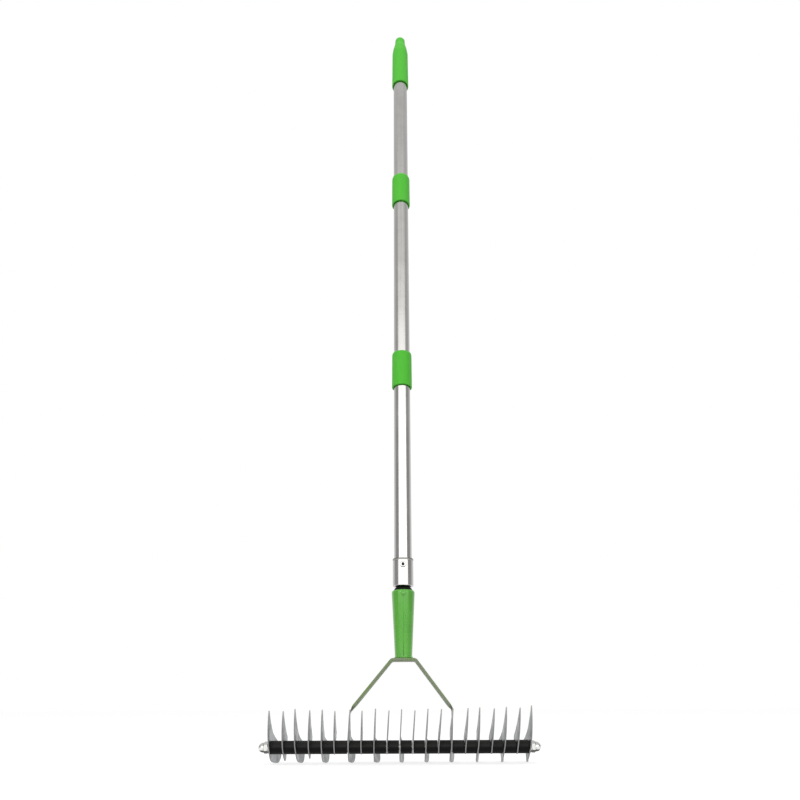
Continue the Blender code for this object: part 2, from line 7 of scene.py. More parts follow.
import logging
import math
from dataclasses import dataclass, field
from enum import Enum

import bmesh
import bpy
import numpy as np
from mathutils import Matrix, Vector


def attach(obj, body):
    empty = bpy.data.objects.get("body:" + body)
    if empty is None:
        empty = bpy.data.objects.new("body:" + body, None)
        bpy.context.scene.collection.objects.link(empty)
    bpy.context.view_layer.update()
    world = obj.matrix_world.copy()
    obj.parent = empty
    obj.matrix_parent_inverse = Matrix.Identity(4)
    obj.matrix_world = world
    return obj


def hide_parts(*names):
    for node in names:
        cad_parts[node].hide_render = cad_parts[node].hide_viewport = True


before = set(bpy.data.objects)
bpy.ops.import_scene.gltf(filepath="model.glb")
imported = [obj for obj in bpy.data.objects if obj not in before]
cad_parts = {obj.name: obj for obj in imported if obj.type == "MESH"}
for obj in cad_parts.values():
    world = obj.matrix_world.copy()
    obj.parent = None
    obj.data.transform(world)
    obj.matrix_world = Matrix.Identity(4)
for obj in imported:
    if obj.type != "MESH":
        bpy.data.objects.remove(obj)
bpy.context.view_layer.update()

LOG = logging.getLogger("rake")
MM = 0.001
Array = np.ndarray
NodeSocket = bpy.types.NodeSocket
Material = bpy.types.Material
Pair = tuple[float, float]
Triple = tuple[float, float, float]


class Body(Enum):
    """The moving bodies that pieces ride on."""

    HEAD = "head_and_lower_section"
    BLADES = "blade_pack"
    MIDDLE = "middle_section"
    UPPER = "upper_section"


class Slot(Enum):
    """The record's material slots."""

    STEEL = "polished_steel"
    BLADE = "blade_steel"
    NUT = "nut_chrome"
    BLACK = "spacer_black"
    SOCKET = "socket_green"
    YOKE = "yoke_olive"
    GRIP = "grip_green"


class BladeKind(Enum):
    """The three ways a blade's rear is stamped."""

    LONG = "crescent with a round rear lobe"
    SHORT = "short heel"
    HEELED = "heel that shows under the spacers"


# Node recipes


class Graph:
    """A node tree while it is being put together."""

    def __init__(self, tree: bpy.types.NodeTree) -> None:
        """Starts with the tree emptied."""
        self.tree = tree
        tree.nodes.clear()

    def add(self, kind: str) -> bpy.types.Node:
        """Adds a node of this kind."""
        return self.tree.nodes.new(kind)

    def join(self, socket: NodeSocket, value: object) -> None:
        """Feeds a socket.

        Args:
            socket: the input that is fed.
            value: an output, a number or a vector.
        """
        if isinstance(value, NodeSocket):
            self.tree.links.new(value, socket)
        else:
            socket.default_value = value

    def math(self, operation: str, *values: object) -> NodeSocket:
        """One arithmetic step.

        Args:
            operation: the Math node's own word for it.
            values: numbers or other nodes' outputs, in order.

        Returns:
            The result.
        """
        node = self.add("ShaderNodeMath")
        node.operation = operation
        for socket, value in zip(node.inputs, values):
            self.join(socket, value)
        return node.outputs[0]

    def band(self, source: NodeSocket, low: float, high: float, start: float = 0.0,
             end: float = 1.0) -> NodeSocket:
        """A smooth step: start + (end - start) (3 t^2 - 2 t^3) with t from 0 at low to 1 at high.

        Args:
            source: the value that is followed.
            low: where the step begins.
            high: where it ends.
            start: the result below low.
            end: the result above high.

        Returns:
            The stepped value.
        """
        node = self.add("ShaderNodeMapRange")
        node.interpolation_type = "SMOOTHSTEP"
        for socket, value in zip(node.inputs, (source, low, high, start, end)):
            self.join(socket, value)
        return node.outputs[0]

    def ramp(self, source: NodeSocket, stops: tuple[Pair, ...]) -> NodeSocket:
        """A value that eases between stops, as a sum of smooth steps on the first level.

        Args:
            source: the value that is followed.
            stops: places in rising order, each with its level.

        Returns:
            The eased level.
        """
        level: object = stops[0][1]
        for (a, low), (b, high) in zip(stops, stops[1:]):
            level = self.math("ADD", self.band(source, a, b, 0.0, high - low), level)
        return level

    def share(self, part: NodeSocket, first: object, second: object) -> NodeSocket:
        """Part times the first value plus (1 - part) times the second."""
        rest = self.math("MULTIPLY", self.math("SUBTRACT", 1.0, part), second)
        return self.math("ADD", self.math("MULTIPLY", part, first), rest)

    def degrees(self, rise: NodeSocket, run: NodeSocket) -> NodeSocket:
        """The angle whose tangent is rise / run."""
        return self.math("MULTIPLY", self.math("ARCTAN2", rise, run), 180 / math.pi)

    def axis(self, vector: NodeSocket, axis: int) -> NodeSocket:
        """Takes one part out of a vector.

        Args:
            vector: the vector.
            axis: 0, 1 or 2 for X, Y or Z.

        Returns:
            That part.
        """
        node = self.add("ShaderNodeSeparateXYZ")
        self.join(node.inputs[0], vector)
        return node.outputs[axis]

    def rays(self, *kinds: str) -> NodeSocket:
        """Tells rays of any of these kinds from the rest.

        Args:
            kinds: outputs of the Light Path node.

        Returns:
            1 or 0.
        """
        path = self.add("ShaderNodeLightPath")
        total = path.outputs[kinds[0]]
        for kind in kinds[1:]:
            total = self.math("MAXIMUM", total, path.outputs[kind])
        return total


class Recipe(Graph):
    """A node material around one Principled shader."""

    def __init__(self, name: str) -> None:
        """Starts the material with a Principled shader on its output.

        Args:
            name: the material's name.
        """
        self.material = bpy.data.materials.new(name)
        self.material.use_nodes = True
        super().__init__(self.material.node_tree)
        self.shader = self.add("ShaderNodeBsdfPrincipled")
        self.join(self.add("ShaderNodeOutputMaterial").inputs["Surface"], self.shader.outputs[0])
        self.where = self.add("ShaderNodeTexCoord")

    def put(self, **sockets: object) -> None:
        """Sets numbers or colours on the shader's own sockets; an underscore stands for a space.

        Args:
            sockets: socket names and their values.
        """
        for name, value in sockets.items():
            self.shader.inputs[name.replace("_", " ")].default_value = value

    def feed(self, socket: str, source: NodeSocket) -> None:
        """Links a node's output to one of the shader's sockets."""
        self.join(self.shader.inputs[socket], source)

    def noise(self, scale: float | Triple, detail: float = 3.0, rough: float = 0.55) -> NodeSocket:
        """Fractal noise from 0 to 1 on the object's coordinates.

        Args:
            scale: cells a metre, the same or along each axis.
            detail: octaves.
            rough: how strong the finer octaves are.

        Returns:
            The noise's value.
        """
        cells = self.add("ShaderNodeMapping")
        self.join(cells.inputs["Vector"], self.where.outputs["Object"])
        cells.inputs["Scale"].default_value = scale if isinstance(scale, tuple) else (scale, scale, scale)
        node = self.add("ShaderNodeTexNoise")
        for name, value in (("Vector", cells.outputs[0]), ("Scale", 1.0), ("Detail", detail),
                            ("Roughness", rough)):
            self.join(node.inputs[name], value)
        return node.outputs[0]

    def blend(self, factor: NodeSocket, low: object, high: object) -> NodeSocket:
        """Mixes two colours: low + factor (high - low).

        Args:
            factor: 0 for the first colour, 1 for the second.
            low: the first, a tuple or another node's colour.
            high: the second.

        Returns:
            The mixed colour.
        """
        node = self.add("ShaderNodeMix")
        node.data_type = "RGBA"
        self.join(node.inputs["Factor"], factor)
        for socket, value in ((node.inputs[6], low), (node.inputs[7], high)):
            self.join(socket, (*value, 1.0) if isinstance(value, tuple) else value)
        return node.outputs[2]

    def bump(self, height: NodeSocket, depth: float, strength: float) -> None:
        """Raises the surface's normals by a height.

        Args:
            height: the height from 0 to 1.
            depth: what a height of 1 means, in metres.
            strength: share of the effect.
        """
        node = self.add("ShaderNodeBump")
        for name, value in (("Distance", depth), ("Strength", strength), ("Height", height)):
            self.join(node.inputs[name], value)
        self.feed("Normal", node.outputs[0])

    def along(self, axis: int) -> NodeSocket:
        """The object coordinate along one axis, in metres."""
        return self.axis(self.where.outputs["Object"], axis)

    def turned_to(self, axis: int) -> NodeSocket:
        """The surface's own normal along one axis, from -1 to 1."""
        return self.axis(self.where.outputs["Normal"], axis)

    def facing(self, axis: int) -> NodeSocket:
        """How squarely the surface faces along one axis, from 0 to 1."""
        return self.math("ABSOLUTE", self.turned_to(axis))


@dataclass(frozen=True)
class DrawnTube:
    """Drawn and polished steel: faint draw lines along the tube, hand-worn haze and, if asked, a rim darkened
    as painted shade.
    """

    tint: Triple = (0.66, 0.65, 0.63)
    shade: Triple = (0.57, 0.56, 0.54)
    roughness: Pair = (0.13, 0.22)
    rim: Triple = (0.30, 0.30, 0.28)
    name: str = "drawn_tube"
    painted_shade_from: float = 0.0
    painted_shade_ease: float = 0.85 * MM

    def material(self) -> Material:
        """Builds the node material.

        Returns:
            The material.
        """
        recipe = Recipe(self.name)
        recipe.put(Metallic=1.0)
        lines = recipe.noise((900.0, 900.0, 5.0), 3.0)
        haze = recipe.noise(24.0, 4.0)
        mixed = recipe.math("ADD", recipe.math("MULTIPLY", lines, 0.6), recipe.math("MULTIPLY", haze, 0.4))
        steel = recipe.blend(recipe.band(mixed, 0.35, 0.65), self.shade, self.tint)
        # Above the given height the steel turns to the darker rim colour: a painted line of shade on the
        # ferrule's lip.
        if self.painted_shade_from:
            dull = recipe.band(recipe.along(2), self.painted_shade_from, self.painted_shade_from + self.painted_shade_ease)
            steel = recipe.blend(dull, steel, self.rim)
        recipe.feed("Base Color", steel)
        recipe.feed("Roughness", recipe.band(haze, 0.3, 0.7, *self.roughness))
        recipe.bump(lines, 0.004 * MM, 0.6)
        return recipe.material


@dataclass(frozen=True)
class StampedSteel:
    """Blade sheet: mill grain and dull blotches on the faces, and a duller sheared rim."""

    face: Triple = (0.35, 0.36, 0.365)
    dull: Triple = (0.27, 0.28, 0.285)
    rim: Triple = (0.29, 0.29, 0.285)

    def material(self) -> Material:
        """Builds the node material.

        Returns:
            The material.
        """
        recipe = Recipe("stamped_steel")
        recipe.put(Metallic=1.0)
        blotch = recipe.noise(85.0, 4.0)
        grain = recipe.noise((300.0, 2600.0, 160.0), 2.0)
        sheet = recipe.blend(recipe.band(blotch, 0.32, 0.68), self.dull, self.face)
        side = recipe.band(recipe.facing(0), 0.45, 0.85)
        recipe.feed("Base Color", recipe.blend(side, self.rim, sheet))
        recipe.feed("Roughness", recipe.band(blotch, 0.3, 0.7, 0.46, 0.34))
        recipe.bump(grain, 0.012 * MM, 0.5)
        return recipe.material


@dataclass(frozen=True)
class BlackMoulding:
    """Black moulded plastic with a fine matt skin, and a painted highlight that lightens its upper side."""

    name: str = "black_moulding"
    colour: Triple = (0.0018, 0.0018, 0.0016)
    worn: Triple = (0.004, 0.004, 0.0036)
    painted_top_light: Triple = (0.026, 0.027, 0.025)
    roughness: Pair = (0.42, 0.56)

    def material(self) -> Material:
        """Builds the node material.

        Returns:
            The material.
        """
        recipe = Recipe(self.name)
        recipe.put(Specular_IOR_Level=0.12)
        patch = recipe.noise(60.0, 4.0)
        skin = recipe.blend(recipe.band(patch, 0.4, 0.75), self.colour, self.worn)
        # Faces turned up are blended toward the lighter colour: painted light from above.
        recipe.feed("Base Color", recipe.blend(recipe.band(recipe.turned_to(2), -0.15, 0.3), skin, self.painted_top_light))
        recipe.feed("Roughness", recipe.band(patch, 0.3, 0.7, *self.roughness))
        recipe.bump(recipe.noise(2600.0, 2.0), 0.03 * MM, 0.5)
        return recipe.material


@dataclass(frozen=True)
class SocketEnamel:
    """Gloss green enamel over rolled sheet: pooled colour and orange peel under a clear coat."""

    colour: Triple = (0.112, 0.53, 0.030)
    deep: Triple = (0.090, 0.45, 0.022)

    def material(self) -> Material:
        """Builds the node material.

        Returns:
            The material.
        """
        recipe = Recipe("socket_enamel")
        recipe.put(Roughness=0.4, Coat_Weight=1.0, Coat_Roughness=0.12)
        pool = recipe.noise((55.0, 55.0, 22.0), 3.0)
        recipe.feed("Base Color", recipe.blend(recipe.band(pool, 0.35, 0.65), self.deep, self.colour))
        recipe.bump(recipe.noise(420.0, 2.0), 0.03 * MM, 0.5)
        return recipe.material


@dataclass(frozen=True)
class StrapPaint:
    """Thin green paint over zinc on the yoke, duller than the socket's green and darker as painted shade:
    bare legs below a ragged line, rubbed patches above it.
    """

    # A duller, darker copy of the socket's green; the darkening is painted shade on the thin arms.
    paint: Triple = (0.20, 0.30, 0.105)
    thin: Triple = (0.255, 0.30, 0.19)
    zinc: Triple = (0.36, 0.36, 0.35)
    bare_below: float = 0.062
    painted_above: float = 0.071
    ragged: float = 0.012

    def material(self) -> Material:
        """Builds the node material.

        Returns:
            The material.
        """
        recipe = Recipe("strap_paint")
        patches = recipe.noise(48.0, 5.0, 0.6)
        speck = recipe.noise(380.0, 3.0)
        coat = recipe.band(recipe.math("ADD", patches, recipe.math("MULTIPLY", speck, 0.15)), 0.46, 0.62)
        edge = recipe.math("ADD", recipe.along(2), recipe.math("MULTIPLY", patches, self.ragged))
        height = recipe.band(edge, self.bare_below + self.ragged / 2, self.painted_above + self.ragged / 2)
        recipe.feed("Base Color", recipe.blend(height, self.zinc, recipe.blend(coat, self.paint, self.thin)))
        recipe.feed("Metallic", recipe.band(height, 0.2, 0.8, 0.55, 0.0))
        recipe.feed("Roughness", recipe.band(patches, 0.3, 0.7, 0.42, 0.56))
        recipe.bump(recipe.noise(520.0, 3.0), 0.04 * MM, 0.5)
        return recipe.material


@dataclass(frozen=True)
class GripPlastic:
    """Bright green moulded plastic with a fine eroded grain."""

    colour: Triple = (0.086, 0.60, 0.032)
    scuffed: Triple = (0.12, 0.60, 0.055)

    def material(self) -> Material:
        """Builds the node material.

        Returns:
            The material.
        """
        recipe = Recipe("grip_plastic")
        recipe.put(Specular_IOR_Level=0.4)
        scuff = recipe.noise(70.0, 5.0, 0.6)
        recipe.feed("Base Color", recipe.blend(recipe.band(scuff, 0.5, 0.75), self.colour, self.scuffed))
        recipe.feed("Roughness", recipe.band(scuff, 0.3, 0.7, 0.44, 0.58))
        recipe.bump(recipe.noise(1500.0, 3.0), 0.05 * MM, 0.6)
        return recipe.material


@dataclass(frozen=True)
class BrightPlating:
    """Plated hardware, a mirror with faint polishing haze, with painted shade underneath and a darker tone on
    its outer tips.
    """

    name: str = "bright_plating"
    colour: Triple = (0.84, 0.84, 0.82)
    hazed: Triple = (0.74, 0.74, 0.72)
    painted_shade_and_tip_tone: Triple = (0.085, 0.085, 0.075)

    def material(self) -> Material:
        """Builds the node material.

        Returns:
            The material.
        """
        recipe = Recipe(self.name)
        recipe.put(Metallic=1.0)
        haze = recipe.noise(260.0, 4.0)
        clean = recipe.blend(recipe.band(haze, 0.3, 0.7), self.hazed, self.colour)
        # Faces turned down take the dark colour as painted shade, in place of a dark reflection; faces turned
        # along X take part of it.
        below = recipe.band(recipe.turned_to(2), -0.35, -0.7)
        tip = recipe.band(recipe.facing(0), 0.66, 0.9, 0.0, 0.62)
        recipe.feed("Base Color", recipe.blend(recipe.math("MAXIMUM", below, tip), clean, self.painted_shade_and_tip_tone))
        recipe.feed("Roughness", recipe.band(haze, 0.3, 0.7, 0.08, 0.16))
        recipe.bump(recipe.noise(900.0, 2.0), 0.01 * MM, 0.4)
        return recipe.material


# Surfaces as arrays


@dataclass
class Surface:
    """Points (N, 3) in metres and faces as rows of indices, plus end faces of any length."""

    points: Array
    quads: Array
    ends: list[list[int]] = field(default_factory=list)

    def moved(self, x: float = 0.0, y: float = 0.0, z: float = 0.0) -> "Surface":
        """The same surface shifted by a vector in metres."""
        return Surface(self.points + np.array([x, y, z]), self.quads, self.ends)

    def laid_along_x(self, side: float = 1.0) -> "Surface":
        """Turned about Y so that its own axis, +Z, points along +X (side 1) or -X (side -1)."""
        x, y, z = self.points.T
        return Surface(np.stack([side * z, y, -side * x], -1), self.quads, self.ends)

    def laid_forward(self) -> "Surface":
        """Turned about X so that its own axis, +Z, points along -Y."""
        x, y, z = self.points.T
        return Surface(np.stack([x, -z, y], -1), self.quads, self.ends)

    def object(self, name: str) -> bpy.types.Object:
        """Makes the mesh object, with its doubles merged and its faces pointing out.

        Args:
            name: the object's name.

        Returns:
            The object, at the origin.
        """
        mesh = bpy.data.meshes.new(name)
        mesh.from_pydata(self.points, [], self.quads.tolist() + self.ends)
        made = bpy.data.objects.new(name, mesh)
        bpy.context.scene.collection.objects.link(made)
        outward(mesh)
        return made


def outward(mesh: bpy.types.Mesh) -> None:
    """Merges points within a thousandth of a millimetre and turns the faces outward.

    Args:
        mesh: the mesh that is changed.
    """
    bm = bmesh.new()
    bm.from_mesh(mesh)
    bmesh.ops.remove_doubles(bm, verts=bm.verts, dist=1e-6)
    bmesh.ops.recalc_face_normals(bm, faces=bm.faces)
    bm.to_mesh(mesh)
    bm.free()


def woven(rows: int, columns: int, wrap_rows: bool, wrap_columns: bool) -> Array:
    """Quads of a grid of rows times columns points, wrapping round where asked.

    Args:
        rows: points along the first parameter.
        columns: points along the second.
        wrap_rows: joins the last row to the first.
        wrap_columns: joins the last column to the first.

    Returns:
        An array (faces, 4) of indices.
    """
    i = np.arange(rows if wrap_rows else rows - 1)[:, None]
    j = np.arange(columns if wrap_columns else columns - 1)[None, :]
    below, right = (i + 1) % rows, (j + 1) % columns
    corners = (i * columns + j, i * columns + right, below * columns + right, below * columns + j)
    return np.stack([np.broadcast_to(c, (i.size, j.size)) for c in corners], -1).reshape(-1, 4)


def skin(rings: Array, closed: bool) -> Surface:
    """Joins rings of points, one to the next.

    Args:
        rings: an array (rings, ring points, 3) in metres.
        closed: whether the last ring joins the first; if not, a flat face closes each end.

    Returns:
        The surface.
    """
    rows, columns = rings.shape[:2]
    ends = [] if closed else [list(range(columns)), list(range((rows - 1) * columns, rows * columns))]
    return Surface(rings.reshape(-1, 3), woven(rows, columns, closed, True), ends)


def eased(corners: list[Triple], closed: bool, steps: int = 5) -> Array:
    """Straight lines between corners (u, v, radius), each corner an arc that touches both lines.

    The arc's centre stands on the corner's bisector at radius / sin(half angle), and its points are the
    start spoke turned evenly toward the end spoke.

    Args:
        corners: the corners in order, with their radii.
        closed: whether the last corner joins the first.
        steps: parts of each arc.

    Returns:
        An array (points, 2).
    """
    spots = np.array([c[:2] for c in corners])
    made = []
    for index, (_, _, radius) in enumerate(corners):
        here = spots[index]
        if radius <= 0 or (not closed and index in (0, len(corners) - 1)):
            made.append(here[None])
            continue
        before, after = spots[index - 1] - here, spots[(index + 1) % len(spots)] - here
        room = 0.48 * min(np.linalg.norm(before), np.linalg.norm(after))
        before, after = before / np.linalg.norm(before), after / np.linalg.norm(after)
        half = math.acos(float(np.clip(before @ after, -1, 1))) / 2
        back = min(radius / math.tan(half), room)
        reach = back * math.tan(half)
        bisector = (before + after) / np.linalg.norm(before + after)
        centre = here + bisector * reach / math.sin(half)
        first, last = here + before * back - centre, here + after * back - centre
        sweep = math.pi - 2 * half
        share = np.linspace(0, 1, steps + 1)[:, None]
        spokes = first * np.sin((1 - share) * sweep) + last * np.sin(share * sweep)
        made.append(centre + spokes / math.sin(sweep))
    return np.concatenate(made)


def held(profile: Array, closed: bool, near: float = 0.6) -> Array:
    """Adds a point close to each end of every long straight part, so that eased edges don't shade it.

    A part from a to b, longer than four times the distance, gains a + near (b - a) / |b - a| and its
    mirror at b.

    Args:
        profile: an array (points, 2) in millimetres.
        closed: whether the last point joins the first.
        near: the distance from the ends in millimetres.

    Returns:
        The longer profile.
    """
    after = np.roll(profile, -1, axis=0)
    run = np.linalg.norm(after - profile, axis=1)
    long = run > 4 * near
    if not closed:
        long[-1] = False
    share = near / np.where(long, run, 1.0)
    first = profile + (after - profile) * share[:, None]
    last = after - (after - profile) * share[:, None]
    keep = np.stack([np.ones_like(long), long, long], -1).reshape(-1)
    return np.stack([profile, first, last], 1).reshape(-1, 2)[keep]


def lathe(profile: Array, segments: int = 96, closed: bool = True) -> Surface:
    """A profile of (radius, height) turned about +Z.

    Point (i, j) is (r_i cos a_j, r_i sin a_j, h_i) with a_j = 2 pi j / segments. A closed profile makes
    a ring with a bore; an open one is closed by a flat face on its first and last ring.

    Args:
        profile: an array (points, 2) in millimetres.
        segments: parts of the turn.
        closed: whether the profile's ends join.

    Returns:
        The surface in metres.
    """
    profile = held(profile, closed)
    angles = np.linspace(0, 2 * np.pi, segments, endpoint=False)
    radius, height = profile[:, :1] * MM, profile[:, 1:] * MM
    points = np.stack([radius * np.cos(angles), radius * np.sin(angles), height + 0 * angles], -1)
    return skin(points, closed)


def spaced(path: Array, share: Array) -> Array:
    """Points of a polyline at these shares of its length."""
    run = np.concatenate([[0], np.cumsum(np.linalg.norm(np.diff(path, axis=0), axis=1))])
    return np.stack([np.interp(share * run[-1], run, path[:, k]) for k in range(path.shape[1])], -1)


def bored(surface: Surface, radius: float, length: float) -> Surface:
    """Takes a rod along X, centred on the origin, out of the surface.

    Args:
        surface: the closed surface.
        radius: the rod's radius in millimetres.
        length: its length in millimetres.

    Returns:
        The surface with the hole.
    """
    rod = np.array([[radius, -length / 2], [radius, length / 2]])
    cutter = lathe(rod, 48, closed=False).laid_along_x().object("cutter")
    blank = surface.object("blank")
    step = blank.modifiers.new("bore", "BOOLEAN")
    step.operation = "DIFFERENCE"
    step.object = cutter
    bpy.context.view_layer.update()
    shape = bpy.data.meshes.new_from_object(blank.evaluated_get(bpy.context.evaluated_depsgraph_get()))
    points = np.empty(len(shape.vertices) * 3)
    shape.vertices.foreach_get("co", points)
    faces = [list(face.vertices) for face in shape.polygons]
    for item in (blank, cutter):
        bpy.data.objects.remove(item, do_unlink=True)
    return Surface(points.reshape(-1, 3), np.empty((0, 4), int), faces)


def dress(name: str, surface: Surface, look: Material, body: Body, slot: Slot,
          *nodes: str, sharp: float = 40.0) -> bpy.types.Object:
    """Makes a finished piece: its mesh, shading, material and body, and the nodes it stands for.

    Args:
        name: the piece's name.
        surface: its shape in the row frame.
        look: its material.
        body: what it rides on.
        slot: the record's slot; not used.
        nodes: the frame's nodes that it replaces.
        sharp: edges above this angle in degrees stay hard.

    Returns:
        The object.
    """
    made = surface.object(name)
    made.data.materials.append(look)
    made.data.shade_smooth()
    made.data.set_sharp_from_angle(angle=math.radians(sharp))
    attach(made, body.value)
    if nodes:
        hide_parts(*nodes)
    LOG.info("%s: %d faces on %s", name, len(made.data.polygons), body.value)
    return made


# The rake


@dataclass(frozen=True)
class Datum:
    """Where the axle and the pole stand, in metres."""

    axle_y: float = -6.95 * MM
    axle_z: float = 20.8 * MM
    pole_x: float = 6.0 * MM

    def on_axle(self, surface: Surface, x: float = 0.0) -> Surface:
        """Moves a surface about the origin onto the axle, x metres from its middle."""
        return surface.moved(x, self.axle_y, self.axle_z)

    def on_pole(self, surface: Surface, height: float = 0.0) -> Surface:
        """Moves a surface about +Z onto the pole, lifted by a height in millimetres above the axle."""
        return surface.moved(self.pole_x, self.axle_y, self.axle_z + height * MM)


@dataclass
class Looks:
    """Every material, made once."""

    tube: Material
    ferrule: Material
    blade: Material
    black: Material
    plug: Material
    socket: Material
    yoke: Material
    grip: Material
    bright: Material

    @classmethod
    def made(cls) -> "Looks":
        """Builds all of them."""
        # The ferrule's top few millimetres get the painted shade line.
        lip = DrawnTube(name="ferrule_steel", painted_shade_from=0.2716).material()
        return cls(DrawnTube().material(), lip, StampedSteel().material(), BlackMoulding().material(),
                   # The plug's fourth colour, lighter on faces turned up, is painted light from above.
                   BlackMoulding("plug_moulding", (0.003, 0.004, 0.002), (0.005, 0.007, 0.003),
                                 (0.010, 0.014, 0.008)).material(),
                   SocketEnamel().material(), StrapPaint().material(), GripPlastic().material(),
                   BrightPlating().material())


@dataclass
class BladePack:
    """Blades, spacers, washers and cap nuts, threaded on the axle."""

    datum: Datum
    looks: Looks
    count: int = 21
    thick: float = 1.5
    pitch: float = 17.15
    gap: float = 0.3
    hole: float = 4.3
    leg_blades: tuple[int, int] = (6, 14)
    leg_extra: float = 1.6
    leg_gap: float = 0.15
    leg_thick: float = 1.1
    outer_centre: Pair = (34.5, 41.75)
    outer_radius: float = 63.0
    inner_centre: Pair = (89.0, 157.15)
    inner_radius: float = 160.0
    lobe_radius: float = 14.5
    lobe_from: float = 19.0
    lobe_back: float = 42.4
    lobe_slant: float = 0.7
    flat_backs: tuple[int, ...] = (0, 18, 20)
    heel_radius: float = 5.5
    heels: dict[int, float] = field(default_factory=lambda: {1: 17.5, 3: 14.5})
    heel_depth: float = 9.0
    back_radius: float = 4.5
    back_y: float = 16.0
    rim_round: float = 0.28
    stations: int = 96
    tip_start: float = 0.02
    heel_end: float = 0.62
    lobe_stop: float = 0.9995
    spike_height: float = 48.3
    leg_reach: float = 24.0
    sway_from: float = 9.0
    sway_run: float = 16.0
    foot_run: float = 15.0
    band_half: float = 8.0
    fold_power: float = 1.3
    belly: float = 2.1
    belly_at: Pair = (4.0, -13.4)
    belly_half: float = 10.0
    foot: tuple[float, ...] = (0.7, 0.0, 1.3, 0.0, 0.2, 0.0, -0.4, 0.0, 0.0, 0.0, 0.1, 0.0, -0.8, 0.0, -1.2,
                               0.0, -1.5, 0.0, -1.5, 0.0, -1.9)
    lean: tuple[float, ...] = (0.8, 1.2, 0.2, 2.1, 1.4, 1.4, 2.5, 1.7, 2.4, 3.2, 2.7, 3.0, 3.0, 4.0, 2.4, 3.4,
                               2.2, 3.4, 2.6, 3.4, 1.6)
    reach: tuple[float, ...] = (-2.0, -2.6, 0.0, -1.6, -1.0, -2.6, -1.0, -2.6, 0.0, -2.4, -0.8, -2.4, -0.4,
                                -0.8, 0.0, 0.2, 1.0, -0.4, 1.4, 0.6, 3.2)
    sway: tuple[float, ...] = (2.0, 0.0, 0.7, -0.5, -0.8, -3.4, 0.0, -1.0, -1.8, -0.5, 0.0, 0.0, 0.6, 1.0,
                               1.2, 0.5, 4.4, 0.0, -0.8, 0.0, -0.5)
    shift: tuple[float, ...] = (0.1, 1.3, 0.6, 1.2, 1.2, 0.8, 0.8, 0.5, 0.4, 0.3, 0.4, 0.5, 0.6, 0.3, 0.1,
                                0.15, -0.3, 0.5, 0.2, 0.4, 0.2)
    side_set: tuple[float, ...] = (2.8, 0.0, 2.6, 0.0, 5.8, 0.0, 5.4, 0.0, 8.9, 0.0, 4.5, 0.0, 4.4, 0.0,
                                   4.6, 0.0, -1.8, 0.0, 6.4, 0.0, 6.4)
    spacer_radius: float = 8.4
    washer_radius: float = 7.5
    washer_thick: float = 1.2

    def blade_x(self, number: int) -> float:
        """Where a blade stands: (number - middle) pitch, with the outer ones pushed apart by the legs.

        Args:
            number: the blade's number, from the left.

        Returns:
            Its x in millimetres.
        """
        x = (number - self.count // 2) * self.pitch
        outer = (number > self.leg_blades[1]) - (number < self.leg_blades[0])
        return x + outer * self.leg_extra

    def stand(self, number: int) -> float:
        """Where the play between blade and spacer has let this blade settle, in millimetres."""
        return self.blade_x(number) + self.shift[number]

    @staticmethod
    def turn(centre: Pair, radius: float, start: float, end: float) -> Array:
        """An arc of 160 points from one angle to another: centre plus radius times (cos, sin)."""
        angles = np.linspace(start, end, 160)
        return np.stack([centre[0] + radius * np.cos(angles), centre[1] + radius * np.sin(angles)], -1)

    @staticmethod
    def heading(centre: Pair, point: Array) -> float:
        """The direction from a centre to a point, from 0 to one turn."""
        return math.atan2(point[1] - centre[1], point[0] - centre[0]) % math.tau

    @staticmethod
    def crossing(c1: Pair, r1: float, c2: Pair, r2: float, rear: bool) -> Array:
        """Where two circles cross.

        With d between the centres and u the unit vector between them, the crossings lie at the first centre
        plus u (r1^2 - r2^2 + d^2) / 2d, plus or minus what Pythagoras leaves of r1 across u.

        Args:
            c1: the first centre.
            r1: the first radius.
            c2: the second centre.
            r2: the second radius.
            rear: takes the crossing with more Y, else the one with less.

        Returns:
            The crossing as (y, z).
        """
        a, b = np.array(c1), np.array(c2)
        apart = np.linalg.norm(b - a)
        along = (r1 ** 2 - r2 ** 2 + apart ** 2) / (2 * apart)
        aside = math.sqrt(r1 ** 2 - along ** 2)
        unit = (b - a) / apart
        both = [a + unit * along + s * aside * np.array([-unit[1], unit[0]]) for s in (-1, 1)]
        return max(both, key=lambda p: p[0]) if rear else min(both, key=lambda p: p[0])

